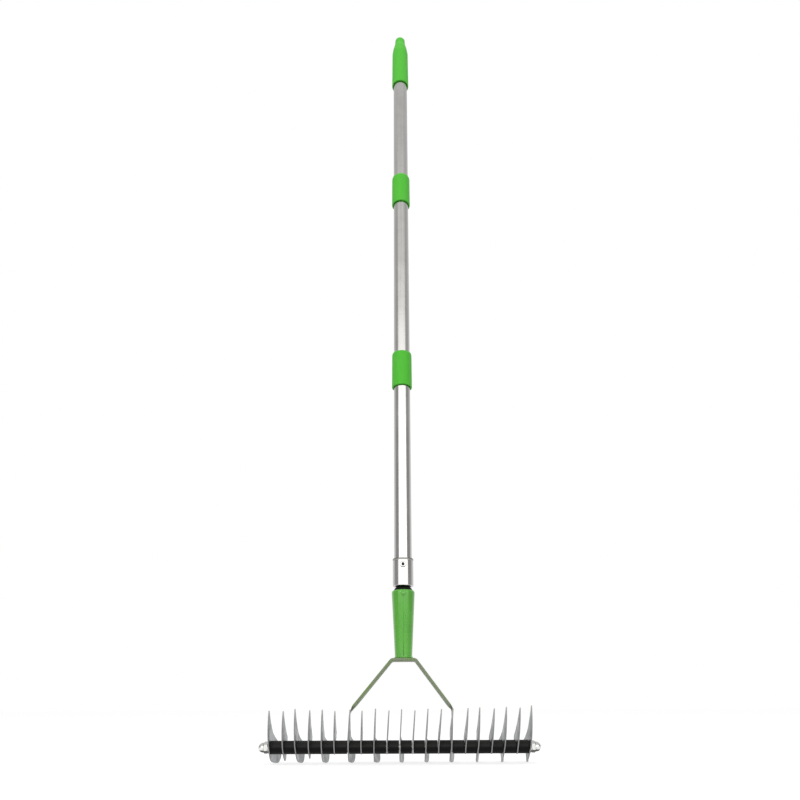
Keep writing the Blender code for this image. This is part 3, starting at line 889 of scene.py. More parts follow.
    def curves(self, kind: BladeKind, depth: float) -> tuple[Array, Array]:
        """The cutting edge and the concave back, each from the spike's tip to the rear, as (y, z).

        The edge follows the outer circle and the back follows the inner one. On a long blade both end on
        the lobe, a circle that touches the two, and the edge swells under the axle by belly times
        exp(-(distance from its middle / half width) squared / 2). On a short one they run round two small
        corner circles to one point: the line that touches both circles, whose normal stands acos((back
        radius - heel radius) / distance) from the line between their centres, closes the heel.

        Args:
            kind: how the rear is stamped.
            depth: how far the heel reaches below the axle, in millimetres.

        Returns:
            Two arrays (points, 2) in millimetres.
        """
        outer, inner = self.outer_centre, self.inner_centre
        spike = self.crossing(outer, self.outer_radius, inner, self.inner_radius, rear=False)
        if kind is BladeKind.LONG:
            radius = self.lobe_radius
            rear = self.crossing(outer, self.outer_radius - radius, inner, self.inner_radius + radius, True)
            heel = back = tuple(rear)
            heel_r = back_r = radius
            low = self.heading(outer, rear)
            high = self.heading(back, np.array(inner))
            meet = low + (high - low) % math.tau / 2
        else:
            heel_r, back_r = self.heel_radius, self.back_radius
            heel_z = heel_r - depth
            reach = self.outer_radius - heel_r
            heel = (outer[0] - math.sqrt(reach ** 2 - (outer[1] - heel_z) ** 2), heel_z)
            span = (self.inner_radius + back_r) ** 2 - (inner[0] - self.back_y) ** 2
            back = (self.back_y, inner[1] - math.sqrt(span))
            run = np.array(back) - np.array(heel)
            meet = math.atan2(run[1], run[0]) - math.acos((back_r - heel_r) / np.linalg.norm(run))
            low = self.heading(outer, np.array(heel))
            high = self.heading(back, np.array(inner))
        edge = self.turn(outer, self.outer_radius, self.heading(outer, spike), low)
        if kind is BladeKind.LONG:
            away = np.linalg.norm(edge - np.array(self.belly_at), axis=1) / self.belly_half
            outward_run = (edge - np.array(outer)) / self.outer_radius
            edge = edge + outward_run * (self.belly * np.exp(-away ** 2 / 2))[:, None]
        foot = self.turn(heel, heel_r, low, low + (meet - low) % math.tau)
        concave = self.turn(inner, self.inner_radius, self.heading(inner, spike),
                            self.heading(inner, np.array(back)))
        corner = self.turn(back, back_r, high, high - (high - meet) % math.tau)
        return np.concatenate([edge, foot[1:]]), np.concatenate([concave, corner[1:]])

    def section(self, width: Array) -> tuple[Array, Array]:
        """A thin slab with eased rims, round its section: offsets along the chord and across the sheet.

        With h half the width, t half the sheet, r0 the rim's radius, r the lesser of r0 and h, and f the
        angle round a corner, its point is (h - r + r cos f, t - r0 + r0 sin f), mirrored to four corners.

        Args:
            width: the chord's length at each station.

        Returns:
            Chord offsets (stations, ring) and sheet offsets (ring).
        """
        angles = np.radians([90, 60, 30, 0])
        flat = np.array([-0.6, -0.2, 0.2, 0.6])
        half, ease = self.thick / 2, self.rim_round
        reach = np.concatenate([flat, np.ones(8), -flat, -np.ones(8)])
        out, rise = np.cos(angles), half - ease + ease * np.sin(angles)
        curl = np.concatenate([0 * flat, out, out[::-1], 0 * flat, -out, -out[::-1]])
        sheet = np.concatenate([0 * flat + half, rise, -rise[::-1], 0 * flat - half, -rise, rise[::-1]])
        halves = width[:, None] / 2
        rim = np.minimum(ease, halves)
        return reach * (halves - rim) + curl * rim, sheet

    def blank(self, kind: BladeKind, depth: float) -> Surface:
        """One flat blade about the axle, swept from the spike to the rear.

        At each station the edge and the back are joined by a chord, and the slab's section stands on it.
        The stations lie at shares (1 - cos a) / 2 of both lines, which crowds them at the spike's tip and
        round the lobe; on a long blade they stop just short of the point where both lines meet.

        Args:
            kind: how the rear is stamped.
            depth: the heel's depth in millimetres.

        Returns:
            The surface with the axle's hole, in metres.
        """
        edge, concave = self.curves(kind, depth)
        last = math.pi if kind is BladeKind.LONG else self.heel_end * math.pi
        share = (1 - np.cos(np.linspace(self.tip_start, last, self.stations))) / 2
        share = share / share[-1]
        if kind is BladeKind.LONG:
            share = share * self.lobe_stop
        front, rear = spaced(edge, share), spaced(concave, share)
        chord = rear - front
        width = np.linalg.norm(chord, axis=1)
        unit = chord / width[:, None]
        along, sheet = self.section(width)
        middle = (front + rear) / 2
        flat = middle[:, None] + along[..., None] * unit[:, None]
        across = np.broadcast_to(sheet[None, :, None], (*along.shape, 1))
        return bored(skin(np.concatenate([across, flat], -1) * MM, False), self.hole, 20.0)

    def bent(self, surface: Surface, number: int) -> Surface:
        """Gives a flat blade its own bends: the spike's lean and reach, the rear's sway and set.

        From the axle up the sheet moves sideways by lean times the share of the spike's height, but beside
        the right leg only past the leg's reach, and up by reach times that share squared. Behind the axle
        it moves by sway for each run of 16 mm, and by set times (share of the way to the rear) to the power
        1.3, a fold that slants forward as it goes down and leaves the back above the axle flat on some
        blades. Below the axle it moves by foot for each 15 mm.

        Args:
            surface: the flat blade.
            number: the blade's number.

        Returns:
            The bent blade.
        """
        x, y, z = surface.points.T
        start = self.leg_reach if number == self.leg_blades[1] else 0.0
        above = np.clip((z / MM - start) / (self.spike_height - start), 0, None)
        behind = np.clip(y / MM - self.sway_from, 0, None) / self.sway_run
        slant = y / MM + self.lobe_slant * np.clip(-z / MM - self.band_half, 0, None)
        if number in self.flat_backs:
            slant = slant - np.clip(z / MM + self.band_half, 0, None)
        rear = np.clip((slant - self.lobe_from) / (self.lobe_back - self.lobe_from), 0, None)
        below = np.clip(-z / MM / self.foot_run, 0, None)
        x = x + (self.lean[number] * above + self.foot[number] * below + self.sway[number] * behind
                 + self.side_set[number] * rear ** self.fold_power) * MM
        z = z + self.reach[number] * MM * above ** 2
        return Surface(np.stack([x, y, z], -1), surface.quads, surface.ends)

    def kind(self, number: int) -> BladeKind:
        """Long and short blades alternate, and some of the short ones have a deeper heel.

        Args:
            number: the blade's number.

        Returns:
            How its rear is stamped.
        """
        if number % 2 == 0:
            return BladeKind.LONG
        return BladeKind.HEELED if number in self.heels else BladeKind.SHORT

    def build(self) -> None:
        """Makes the whole pack."""
        blanks: dict[float, Surface] = {}
        for number in range(self.count):
            kind = self.kind(number)
            depth = 0.0 if kind is BladeKind.LONG else self.heels.get(number, self.heel_depth)
            if depth not in blanks:
                blanks[depth] = self.blank(kind, depth)
            shape = self.datum.on_axle(self.bent(blanks[depth], number), self.stand(number) * MM)
            dress(f"ground_blade_{number:02d}", shape, self.looks.blade, Body.BLADES, Slot.BLADE,
                  f"blade_{number:02d}", sharp=50)
        for number in range(1, self.count):
            self.spacer(number)
        for side, word in ((-1.0, "left"), (1.0, "right")):
            self.end_hardware(side, word)

    def spacer(self, number: int) -> None:
        """Makes the moulded tube between two blades, its rims eased; beside a leg it is shorter by the leg.

        Args:
            number: the blade on its right side.
        """
        beside = self.thick / 2 + self.gap
        past_leg = self.thick / 2 + self.leg_thick + 2 * self.leg_gap
        low, high = self.stand(number - 1) + beside, self.stand(number) - beside
        if number == self.leg_blades[0]:
            high = self.stand(number) - past_leg
        if number == self.leg_blades[1] + 1:
            low = self.stand(number - 1) + past_leg
        r, bore = self.spacer_radius, self.hole
        profile = eased([(bore, low, 0.3), (r, low, 0.35), (r, high, 0.35), (bore, high, 0.3)], True, 4)
        dress(f"moulded_spacer_{number:02d}", self.datum.on_axle(lathe(profile, 64).laid_along_x()),
              self.looks.black, Body.BLADES, Slot.BLACK, f"spacer_{number:02d}")

    def end_hardware(self, side: float, word: str) -> None:
        """Makes the washer and the cap nut on one end of the axle.

        Args:
            side: -1 for the left end, 1 for the right.
            word: that end's word in the names.
        """
        start = self.blade_x(self.count - 1) + self.thick / 2 + self.gap
        end, wide = start + self.washer_thick, self.washer_radius
        washer = eased([(self.hole, start, 0.2), (wide, start, 0.3), (wide, end, 0.45),
                        (self.hole, end, 0.2)], True, 4)
        dress(f"{word}_plated_washer", self.datum.on_axle(lathe(washer, 96).laid_along_x(side)),
              self.looks.bright, Body.BLADES, Slot.NUT, f"{word}_washer")
        nut = self.cap_nut().moved(z=(end + self.gap) * MM).laid_along_x(side)
        dress(f"{word}_domed_nut", self.datum.on_axle(nut), self.looks.bright, Body.BLADES, Slot.NUT,
              f"{word}_cap_nut", sharp=28)

    def cap_nut(self, flats: float = 13.0, height: float = 5.5, dome_radius: float = 6.2,
                dome: float = 7.4) -> Surface:
        """A hexagon with chamfered corners under a dome, and a blind hole for the axle.

        The dome is a half ball on a short collar. The surface is a turned profile R(i) limited to a
        hexagon: the radius at an angle is the lesser of R(i) and half the flats over cos(angle from the
        nearest flat's middle), which cuts the chamfers' curved edges into the flats.

        Args:
            flats: width across the flats.
            height: the hexagon's height.
            dome_radius: the dome's radius at its foot.
            dome: the dome's height.

        Returns:
            The nut about +Z, its seat at 0, in metres.
        """
        corner = flats / math.sqrt(3)
        seat, seat_rise = flats / 2 - 0.3, 0.55
        crest, crest_drop = flats / 2 - 0.45, 0.85
        fine = np.linspace(0, 1, 9)
        low = np.stack([seat + (corner - seat) * fine, seat_rise * fine], -1)
        high = np.stack([corner + (crest - corner) * fine, height - crest_drop + crest_drop * fine], -1)
        turn = np.linspace(0, 0.5 * np.pi, 26)[:-1]
        shoulder = height + 0.25 + dome - dome_radius
        crown = np.stack([dome_radius * np.cos(turn), shoulder + dome_radius * np.sin(turn)], -1)
        fillet = np.array([[dome_radius + 0.28, height + 0.02], [dome_radius + 0.07, height + 0.1]])
        hole = np.array([[0.2, 7.7], [self.hole, 7.4], [self.hole, 0.5], [self.hole + 0.4, 0.0]])
        profile = np.concatenate([hole, low, high, fillet, crown])
        angles = np.linspace(0, 2 * np.pi, 144, endpoint=False)
        nearest = angles % (np.pi / 3) - np.pi / 6
        hexagon = flats / 2 / np.cos(nearest)
        radius = np.minimum(profile[:, :1], hexagon) * MM
        points = np.stack([radius * np.cos(angles), radius * np.sin(angles),
                           profile[:, 1:] * MM + 0 * angles], -1)
        return skin(points, False)


@dataclass
class Yoke:
    """The bent strap that carries the axle, with its narrow, bare legs."""

    datum: Datum
    looks: Looks
    pack: BladePack
    thick: float = 3.6
    depth: float = 32.0
    leg_thick: float = 1.1
    leg_depth: float = 13.0
    left_bend: Pair = (-63.0, 49.9)
    right_bend: Pair = (71.6, 47.2)
    turns_z: Pair = (42.0, 28.0)
    widen_z: Pair = (43.0, 53.0)
    bar_z: float = 111.6
    bar_half: float = 16.5
    leg_drift: Pair = (1.6, 1.2)
    edge: float = 0.55

    def leg_x(self, side: int) -> float:
        """Middle of a leg's thickness beside its blade."""
        number = self.pack.leg_blades[0 if side < 0 else 1]
        return self.pack.stand(number) + side * (self.pack.thick / 2 + self.pack.leg_gap + self.leg_thick / 2)

    def path(self) -> Array:
        """The strap's middle line, from one eye's bottom to the other's.

        Returns:
            An array (360, 2) of (x, z) in millimetres.
        """
        left, right = self.leg_x(-1), self.leg_x(1)
        middle, drift = self.datum.pole_x / MM, self.leg_drift
        eye = self.leg_depth / 2 * 0.996
        corners = [(left, -eye, 0), (left, 6, 25), (left + drift[0], self.turns_z[0], 12),
                   (*self.left_bend, 6), (middle - self.bar_half, self.bar_z, 5),
                   (middle + self.bar_half, self.bar_z, 5), (*self.right_bend, 6),
                   (right + drift[1], self.turns_z[1], 20), (right, 4, 30), (right, -eye, 0)]
        return spaced(eased(corners, False, 14), np.linspace(0, 1, 360))

    def build(self) -> None:
        """Makes the strap.

        A rounded rectangle, half thickness by half depth, stands square to the path at each station;
        both grow from the leg's to the strap's by a smooth step over the shoulder, and below the axle
        the depth follows the eye's circle.
        """
        path = self.path()
        run = np.gradient(path, axis=0)
        run /= np.linalg.norm(run, axis=1)[:, None]
        side = np.stack([-run[:, 1], run[:, 0]], -1)
        z = path[:, 1]
        share = np.clip((z - self.widen_z[0]) / (self.widen_z[1] - self.widen_z[0]), 0, 1)
        ease = share ** 2 * (3 - 2 * share)
        thick = (self.leg_thick + (self.thick - self.leg_thick) * ease) / 2
        depth = (self.leg_depth + (self.depth - self.leg_depth) * ease) / 2
        eye = np.sqrt(np.clip((self.leg_depth / 2) ** 2 - np.minimum(z, 0) ** 2, 0, None))
        depth = np.where(z < 0, np.maximum(eye, 0.3), depth)
        angles = np.radians(np.concatenate([np.linspace(q, q + 90, 5) for q in (0, 90, 180, 270)]))
        ux = np.repeat([1, -1, -1, 1], 5)
        uy = np.repeat([1, 1, -1, -1], 5)
        rim = np.minimum(np.minimum(self.edge, thick * 0.9), depth * 0.9)[:, None]
        across = ux * (thick[:, None] - rim) + rim * np.cos(angles)
        deep = uy * (depth[:, None] - rim) + rim * np.sin(angles)
        x = path[:, :1] + side[:, :1] * across
        up = path[:, 1:] + side[:, 1:] * across
        rings = np.stack([x, deep, up], -1) * MM
        shape = bored(skin(rings, False), self.pack.hole, 200.0)
        dress("bent_strap_yoke", self.datum.on_axle(shape), self.looks.yoke, Body.HEAD, Slot.YOKE, "yoke",
              sharp=50)


@dataclass
class Socket:
    """The rolled green socket with its open seam, its weld and its rivet."""

    datum: Datum
    looks: Looks
    low: float = 113.7
    top: float = 207.6
    low_radius: float = 12.0
    top_radius: float = 16.8
    wall: float = 1.9
    seam_wide: float = 0.45
    seam_fine: float = 0.16
    seam_step: float = 134.0
    seam_top: float = 161.0
    hairline: Pair = (0.06, 0.04)
    rim_drop: tuple[Pair, ...] = ((0.0, 0.5), (0.003, 0.15), (0.008, 0.0), (0.96, 0.0), (0.978, 0.2),
                                  (0.991, 0.75), (1.0, 1.6))
    flare: float = 0.5
    flare_run: float = 1.2
    lip_dip: float = 0.35
    lip_turn: float = 0.07
    lip_fade: Triple = (1.0, 0.6, 0.25)
    bead: float = 0.75
    bead_rise: float = 1.35
    rivet_z: float = 202.3
    rivet_out: float = 16.5
    rivet_radius: float = 3.4
    rivet_dome: float = 1.6
    rivet_shank: float = 2.0

    def gap(self, height: Array) -> Array:
        """Half the seam's opening: wide at the foot, fine above the step, then a hairline.

        Args:
            height: heights in millimetres.

        Returns:
            Half the opening in millimetres, a straight line between the places named.
        """
        wide, fine = self.seam_wide / 2, self.seam_fine / 2
        return np.interp(height, [self.low, self.seam_step - 2, self.seam_step + 3, self.seam_top - 8,
                                  self.seam_top, self.top],
                         [wide, wide, fine, self.seam_fine / 2.4, *self.hairline])

    def shell(self) -> Surface:
        """The rolled sheet.

        At each height the angle runs from one lip of the seam right round to the other, from -Y. The outer
        radius grows evenly with the height, plus flare times exp(-(height above the foot / its run)
        squared), less rim_drop, which goes by the share of the height; the inner one is a wall less. Both
        lips dip inward by lip_dip times exp(-(angle from the seam / lip_turn) squared), fading upward.

        Returns:
            The surface in metres, about the pole's axis.
        """
        share = np.concatenate([[0.0, 0.003], np.linspace(0.008, 0.96, 66), np.linspace(0.965, 1.0, 8)])
        height = self.low + (self.top - self.low) * share
        grow = self.low_radius + (self.top_radius - self.low_radius) * share
        rim = np.interp(share, *zip(*self.rim_drop))
        foot = self.flare * np.exp(-((height - self.low) / self.flare_run) ** 2)
        outer = grow + foot - rim
        inner = grow - self.wall + np.where(share < 0.5, rim * 0.6, 0.0)
        around = np.linspace(0, 1, 145)
        half = self.gap(height)[:, None] / outer[:, None]
        angle = half + (2 * np.pi - 2 * half) * around
        from_seam = np.minimum(angle, 2 * np.pi - angle)
        fade = np.interp(height, [self.low, self.seam_top, self.top], self.lip_fade)[:, None]
        curl = self.lip_dip * np.exp(-(from_seam / self.lip_turn) ** 2) * fade
        sheets = []
        for radius, turned, tall in ((outer[:, None] - curl, angle, height),
                                     ((inner[:, None] - curl * 0.7)[::-1], angle[::-1], height[::-1])):
            sheets.append(np.stack([radius * np.sin(turned), -radius * np.cos(turned),
                                    tall[:, None] + 0 * turned], -1))
        points = np.concatenate(sheets) * MM
        rows, count = points.shape[:2]
        quads = woven(rows, count, True, False)
        i = np.arange(len(height) - 1)
        lips = [np.stack([i * count + j, (i + 1) * count + j, (rows - 2 - i) * count + j,
                          (rows - 1 - i) * count + j], -1) for j in (0, count - 1)]
        return Surface(points.reshape(-1, 3), np.concatenate([quads, *lips]))

    def weld(self) -> Surface:
        """The bead at the socket's foot: a ring whose own radius ripples as the welder's hand moved.

        Point (a, f) stands at major + m(a) cos f from the axis and m(a) sin f up, with m(a) the bead's
        radius plus two sine ripples of 26 and 9 waves a turn.

        Returns:
            The surface in metres, about the pole's axis.
        """
        a = np.linspace(0, 2 * np.pi, 240, endpoint=False)[:, None]
        f = np.linspace(0, 2 * np.pi, 14, endpoint=False)[None, :]
        minor = self.bead + 0.16 * np.sin(26 * a + 0.6 * np.sin(3 * a)) + 0.14 * np.sin(9 * a + 1.0)
        major = self.low_radius + 0.05 + 0.15 * np.sin(5 * a)
        away = major + minor * np.cos(f)
        points = np.stack([away * np.cos(a), away * np.sin(a),
                           self.low + self.bead_rise + minor * np.sin(f)], -1) * MM
        return skin(points, True)

    def build(self) -> None:
        """Makes the socket, its weld and its rivet."""
        dress("rolled_socket", self.datum.on_pole(self.shell()), self.looks.socket, Body.HEAD, Slot.SOCKET,
              "socket", sharp=35)
        dress("socket_weld", self.datum.on_pole(self.weld()), self.looks.socket, Body.HEAD, Slot.SOCKET)
        dome = np.radians(np.linspace(0, 88, 9))
        radius, shank = self.rivet_radius, self.rivet_shank
        head = np.stack([radius * np.cos(dome), 0.25 + self.rivet_dome * np.sin(dome)], -1)
        profile = np.concatenate([[[0.2, -8.0], [shank, -8.0], [shank, -0.1], [3.3, 0.0]], head])
        rivet = lathe(profile, 48, closed=False).laid_forward().moved(y=-self.rivet_out * MM)
        dress("painted_rivet", self.datum.on_pole(rivet, self.rivet_z), self.looks.socket, Body.HEAD,
              Slot.SOCKET, "socket_rivet")


@dataclass
class Pole:
    """Plug, ferrule, three tubes, two collars and the end cap, about the pole's axis."""

    datum: Datum
    looks: Looks
    tube: float = 13.0
    wall: float = 1.2
    play: float = 0.3
    ferrule_low: float = 213.9
    ferrule_top: float = 254.3
    ferrule_radius: float = 15.0
    ferrule_lip: float = 0.35
    plug_low: float = 150.0
    plug_top: float = 258.5
    plug_shank: float = 11.4
    plug_spigot: float = 11.5
    ring_low: float = 206.5
    ring_top: float = 213.6
    ring_radius: float = 14.3
    ring_neck: float = 8.6
    eyelet_z: float = 244.0
    eyelet_radius: float = 3.2
    eyelet_roll: Pair = (1.6, 1.7)
    collars: Pair = (533.9, 906.6)
    collar_length: float = 68.0
    collar_radii: Triple = (16.2, 16.0, 15.4)
    mouth_radius: float = 14.0
    mouth_trim: float = 2.2
    rim_trim: float = 3.3
    web_low: float = 26.0
    web_top: float = 42.0
    stud: float = 7.3
    cap_low: float = 1206.2
    cap_length: float = 129.0
    cap_radius: float = 16.0
    cap_taper: tuple[Triple, ...] = ((9.5, 0.0, 1.8), (10.2, 12.5, 8.0), (13.4, 26.0, 8.0),
                                     (15.4, 40.0, 10.0))
    cap_end: float = 34.0
    tube_end: float = 36.0

    def build(self) -> None:
        """Makes every piece of the pole."""
        self.plug_and_ferrule()
        low, high = self.collars
        above, below = self.web_top + self.play, self.web_low - self.play
        self.section_tube("lower", self.ferrule_low, low + below, Body.HEAD)
        self.section_tube("middle", low + above, high + below, Body.MIDDLE)
        self.section_tube("upper", high + above, self.cap_low + self.cap_length - self.tube_end, Body.UPPER)
        self.collar("lower", low, Body.MIDDLE)
        self.collar("upper", high, Body.UPPER)
        self.end_cap()

    def turned(self, corners: list[Triple], closed: bool, steps: int = 7, segments: int = 128) -> Surface:
        """Eased corners (radius, height, corner radius) turned about the pole's axis."""
        return self.datum.on_pole(lathe(eased(corners, closed, steps), segments, closed))

    def mouth(self, z: float) -> list[Triple]:
        """The corners of an open mouth that faces down: a wider recess and its step to the bore.

        Args:
            z: the mouth's height in millimetres.

        Returns:
            Three corners (radius, height, corner radius), from the outside in.
        """
        wide = self.mouth_radius
        return [(wide, z, 0.35), (wide, z + 1.8, 0.3), (self.tube + self.play, z + 2.2, 0.3)]

    def section_tube(self, word: str, low: float, high: float, body: Body) -> None:
        """Makes one section's tube, with eased ends.

        Args:
            word: the section's word in the names.
            low: its lower end.
            high: its upper end.
            body: what it rides on.
        """
        inner = self.tube - self.wall
        corners = [(self.tube, low, 0.25), (self.tube, high, 0.25), (inner, high, 0.25), (inner, low, 0.25)]
        dress(f"{word}_drawn_tube", self.turned(corners, True, 3), self.looks.tube, body, Slot.STEEL,
              f"{word}_tube")

    def collar(self, word: str, low: float, body: Body) -> None:
        """Makes a joint's collar: open mouth, narrowing barrel, eased rim, and a web round the stud.

        Args:
            word: the joint's word in the names.
            low: its foot.
            body: what it rides on.
        """
        top, mouth = low + self.collar_length - self.rim_trim, low + self.mouth_trim
        bore, stud = self.tube + self.play, self.stud
        web_low, web_top = low + self.web_low, low + self.web_top
        foot, high, rim = self.collar_radii
        corners = [(rim, top, 1.0), (high, top - 3, 2.0), (foot, mouth, 1.5), *self.mouth(mouth),
                   (bore, web_low, 0.3), (stud, web_low, 0.3), (stud, web_top, 0.3), (bore, web_top, 0.3),
                   (bore, top, 0.3)]
        dress(f"{word}_moulded_collar", self.turned(corners, True), self.looks.grip, body, Slot.GRIP,
              f"{word}_collar")

    def end_cap(self) -> None:
        """The grip at the pole's end: a long barrel, a rounded taper and a flat tip."""
        low, top = self.cap_low, self.cap_low + self.cap_length
        bore, floor = self.tube + self.play, top - self.cap_end
        taper = [(radius, top - down, ease) for radius, down, ease in self.cap_taper]
        corners = [(0.3, top, 0), *taper, (self.cap_radius, low, 1.3), *self.mouth(low),
                   (bore, floor, 0.6), (0.3, floor, 0)]
        dress("moulded_end_cap", self.turned(corners, False), self.looks.grip, Body.UPPER, Slot.GRIP,
              "end_cap")

    def plug_and_ferrule(self) -> None:
        """The black plug, the bright ferrule, its eyelet rivet, and a black disc of painted shade in the
        eyelet's hollow.
        """
        low, top, bore = self.ferrule_low, self.ferrule_top, self.tube + self.play
        out, lip = self.ferrule_radius, self.ferrule_radius + self.ferrule_lip
        ferrule = [(bore, low, 0.2), (out, low, 0.7), (out, top - 3, 0.4), (lip, top - 1.6, 0.4),
                   (lip, top, 0.9), (bore, top, 0.3)]
        dress("bright_ferrule", self.turned(ferrule, True), self.looks.ferrule, Body.HEAD, Slot.STEEL,
              "ferrule", sharp=60)
        spigot, neck = self.plug_spigot, self.ring_neck
        plug = [(0.3, self.plug_top, 0), (spigot, self.plug_top, 1.0), (spigot, self.ring_top, 0.3),
                (neck, self.ring_top, 0.3), (12.4, self.ring_low + 4.4, 4.0),
                (self.ring_radius, self.ring_low, 0.5), (self.plug_shank, self.plug_low, 0.6),
                (0.3, self.plug_low, 0)]
        dress("black_plug", self.turned(plug, False, 5, 96), self.looks.plug, Body.HEAD, Slot.BLACK, "plug")
        roll = np.radians(np.linspace(0, 180, 17))
        wide, tall = self.eyelet_roll
        head = np.stack([self.eyelet_radius + wide * np.cos(roll), 0.2 + tall * np.sin(roll)], -1)
        eyelet = np.concatenate([[[1.6, -6.0], [2.5, -6.0], [2.5, 0.1]], head])
        # A black disc of painted shade inside the eyelet, where the unbored ferrule would show bright.
        hole_shade_profile = eased([(0.2, -5.9, 0), (1.5, -5.9, 0.1), (1.5, 0.3, 0.2), (0.2, 0.3, 0)], False, 3)
        rivet, dark = (self.datum.on_pole(shape.laid_forward().moved(y=-out * MM), self.eyelet_z)
                       for shape in (lathe(eyelet, 64), lathe(hole_shade_profile, 32, closed=False)))
        dress("eyelet_hole_shade", dark, self.looks.plug, Body.HEAD, Slot.BLACK)
        dress("eyelet_rivet", rivet, self.looks.bright, Body.HEAD, Slot.STEEL, "ferrule_rivet")


@dataclass
class HiddenHardware:
    """The frame's own solids that stay: they are inside others and only need their finish."""

    looks: Looks

    def build(self) -> None:
        """Gives each its material."""
        for node in ("axle_rod", "lower_coupler", "upper_coupler"):
            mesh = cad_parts[node].data
            mesh.materials.clear()
            mesh.materials.append(self.looks.bright if node == "axle_rod" else self.looks.tube)


# The studio


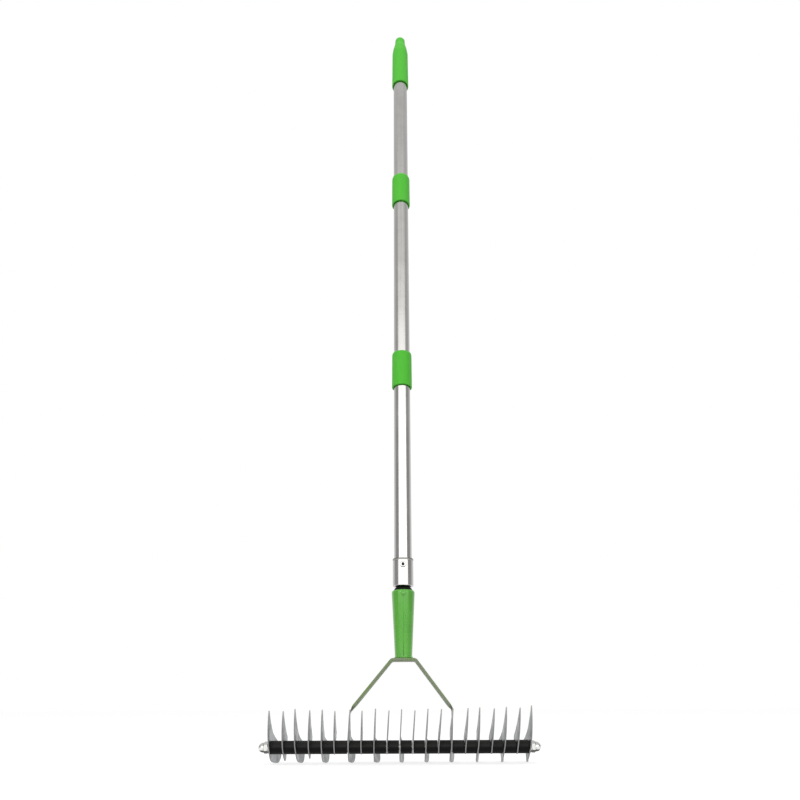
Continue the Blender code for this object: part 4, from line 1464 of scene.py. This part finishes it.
@dataclass
class Studio:
    """Pale floor, soft lights, surroundings and the camera.

    The walls' stops are (degrees, level), and a lamp is (name, place, aim, size, watts).
    """

    lens: float = 29.07
    shift_y: float = 0.0825
    pitch: float = 20.5
    yaw: float = 0.167
    roll: float = -0.25
    azimuth: float = 0.3
    reach: float = 0.9405
    rise: float = 0.0494
    floor_half: float = 20.0
    floor_grey: float = 0.5
    floor_glow: float = 0.68
    even: float = 0.62
    front: tuple[Pair, ...] = ((1.0, 0.55), (7.0, 2.3), (22.0, 2.1), (40.0, 0.78), (52.0, 0.62))
    sides: tuple[Pair, ...] = ((0.0, 0.34), (20.0, 0.36), (38.0, 0.5), (50.0, 0.62))
    back: tuple[Pair, ...] = ((0.0, 1.0), (10.0, 0.86), (40.0, 0.7), (52.0, 0.62))
    front_ends: tuple[Pair, ...] = ((48.0, 1.0), (58.0, 0.0))
    back_starts: tuple[Pair, ...] = ((92.0, 0.0), (128.0, 1.0))
    lamps: tuple[tuple[str, Triple, Triple, Pair, float], ...] = (
        ("key", (-0.7, -2.6, 2.0), (0.0, 0.0, 0.6), (1.6, 1.4), 26.0),
        ("top", (0.2, -0.4, 3.0), (0.0, 0.0, 0.6), (2.0, 2.0), 14.0))

    def camera(self, datum: Datum) -> None:
        """Places the camera low in front of the head, looking up the pole.

        Args:
            datum: where the axle stands.
        """
        data = bpy.data.cameras.new("camera")
        data.sensor_width = 36.0
        data.lens = self.lens
        data.shift_y = self.shift_y
        data.clip_start, data.clip_end = 0.02, 60.0
        item = bpy.data.objects.new("camera", data)
        bpy.context.scene.collection.objects.link(item)
        yaw, pitch, roll = (math.radians(v) for v in (self.yaw, self.pitch, self.roll))
        ahead = Vector((-math.sin(yaw) * math.cos(pitch), math.cos(yaw) * math.cos(pitch), math.sin(pitch)))
        flat = Vector((math.cos(yaw), math.sin(yaw), 0.0))
        above = flat.cross(ahead)
        right = flat * math.cos(roll) + above * math.sin(roll)
        up = above * math.cos(roll) - flat * math.sin(roll)
        turn = Matrix((right, up, -ahead)).transposed().to_4x4()
        away = math.radians(self.azimuth)
        spot = Vector((self.reach * math.sin(away), datum.axle_y - self.reach * math.cos(away),
                       datum.axle_z + self.rise))
        item.matrix_world = Matrix.Translation(spot) @ turn
        bpy.context.scene.camera = item

    def floor(self) -> None:
        """A wide pale floor that shows white to the camera and keeps a faint shadow."""
        mesh = bpy.data.meshes.new("floor")
        half = self.floor_half
        mesh.from_pydata([(-half, -half, 0), (half, -half, 0), (half, half, 0), (-half, half, 0)], [],
                         [(0, 1, 2, 3)])
        item = bpy.data.objects.new("floor", mesh)
        bpy.context.scene.collection.objects.link(item)
        material = bpy.data.materials.new("pale_floor")
        material.use_nodes = True
        graph = Graph(material.node_tree)
        matt, glow, both, mix, output = map(graph.add, (
            "ShaderNodeBsdfDiffuse", "ShaderNodeEmission", "ShaderNodeAddShader", "ShaderNodeMixShader",
            "ShaderNodeOutputMaterial"))
        matt.inputs["Color"].default_value = (self.floor_grey, self.floor_grey, self.floor_grey, 1)
        glow.inputs["Strength"].default_value = self.floor_glow
        shown = graph.rays("Is Camera Ray", "Is Glossy Ray", "Is Transmission Ray")
        for socket, value in ((both.inputs[0], matt.outputs[0]), (both.inputs[1], glow.outputs[0]),
                              (mix.inputs[0], shown), (mix.inputs[1], matt.outputs[0]),
                              (mix.inputs[2], both.outputs[0]), (output.inputs["Surface"], mix.outputs[0])):
            graph.join(socket, value)
        mesh.materials.append(material)

    def world(self) -> None:
        """White to the camera, an even grey to matt surfaces, and a studio's walls in the metal.

        The walls go by direction. The front is a bright window from about 6 to 24 degrees up that fades to
        the ceiling's grey by 52, the sides are darker flats, and the back is the pale backdrop. With (x, y,
        z) the direction, it is atan(z / length of (x, y)) up and atan(|x| / -y) round from the front.
        """
        world = bpy.data.worlds.new("studio")
        bpy.context.scene.world = world
        world.use_nodes = True
        graph = Graph(world.node_tree)
        step = graph.math
        where = graph.add("ShaderNodeTexCoord").outputs["Generated"]
        x, y, z = (graph.axis(where, axis) for axis in range(3))
        flat = step("SQRT", step("ADD", step("MULTIPLY", x, x), step("MULTIPLY", y, y)))
        lift = graph.degrees(z, flat)
        aside = graph.degrees(step("ABSOLUTE", x), step("MULTIPLY", y, -1.0))
        front, sides, back = (graph.ramp(lift, stops) for stops in (self.front, self.sides, self.back))
        near, far = graph.ramp(aside, self.front_ends), graph.ramp(aside, self.back_starts)
        walls = graph.share(far, back, graph.share(near, front, sides))
        level = graph.share(graph.rays("Is Glossy Ray", "Is Transmission Ray"), walls, self.even)
        level = graph.share(graph.rays("Is Camera Ray"), 1.0, level)
        shine = graph.add("ShaderNodeBackground")
        shine.inputs["Color"].default_value = (1.0, 1.0, 1.0, 1.0)
        graph.join(shine.inputs["Strength"], level)
        graph.join(graph.add("ShaderNodeOutputWorld").inputs["Surface"], shine.outputs[0])

    def lamp(self, name: str, place: Triple, aim: Triple, size: Pair, power: float) -> None:
        """A soft box that lights the object and stays out of its reflections.

        Args:
            name: the lamp's name.
            place: where it hangs.
            aim: what it points at.
            size: its width and height in metres.
            power: watts.
        """
        data = bpy.data.lights.new(name, "AREA")
        data.shape = "RECTANGLE"
        data.size, data.size_y = size
        data.energy = power
        item = bpy.data.objects.new(name, data)
        bpy.context.scene.collection.objects.link(item)
        item.location = place
        item.rotation_euler = (Vector(aim) - Vector(place)).to_track_quat("-Z", "Y").to_euler()
        item.visible_glossy = False
        item.visible_camera = False

    def build(self, datum: Datum) -> None:
        """Sets up the camera, the floor, the world, the lamps and the view transform.

        Args:
            datum: where the axle stands.
        """
        bpy.context.scene.view_settings.view_transform = "Standard"
        self.camera(datum)
        self.floor()
        self.world()
        for lamp in self.lamps:
            self.lamp(*lamp)


def main() -> None:
    """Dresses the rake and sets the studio."""
    logging.basicConfig(level=logging.INFO, format="%(name)s: %(message)s")
    datum, looks = Datum(), Looks.made()
    pack = BladePack(datum, looks)
    for assembly in (pack, Yoke(datum, looks, pack), Socket(datum, looks), Pole(datum, looks),
                     HiddenHardware(looks)):
        assembly.build()
        LOG.info("%s is done", type(assembly).__name__)
    Studio().build(datum)


if __name__ == "__main__":
    main()
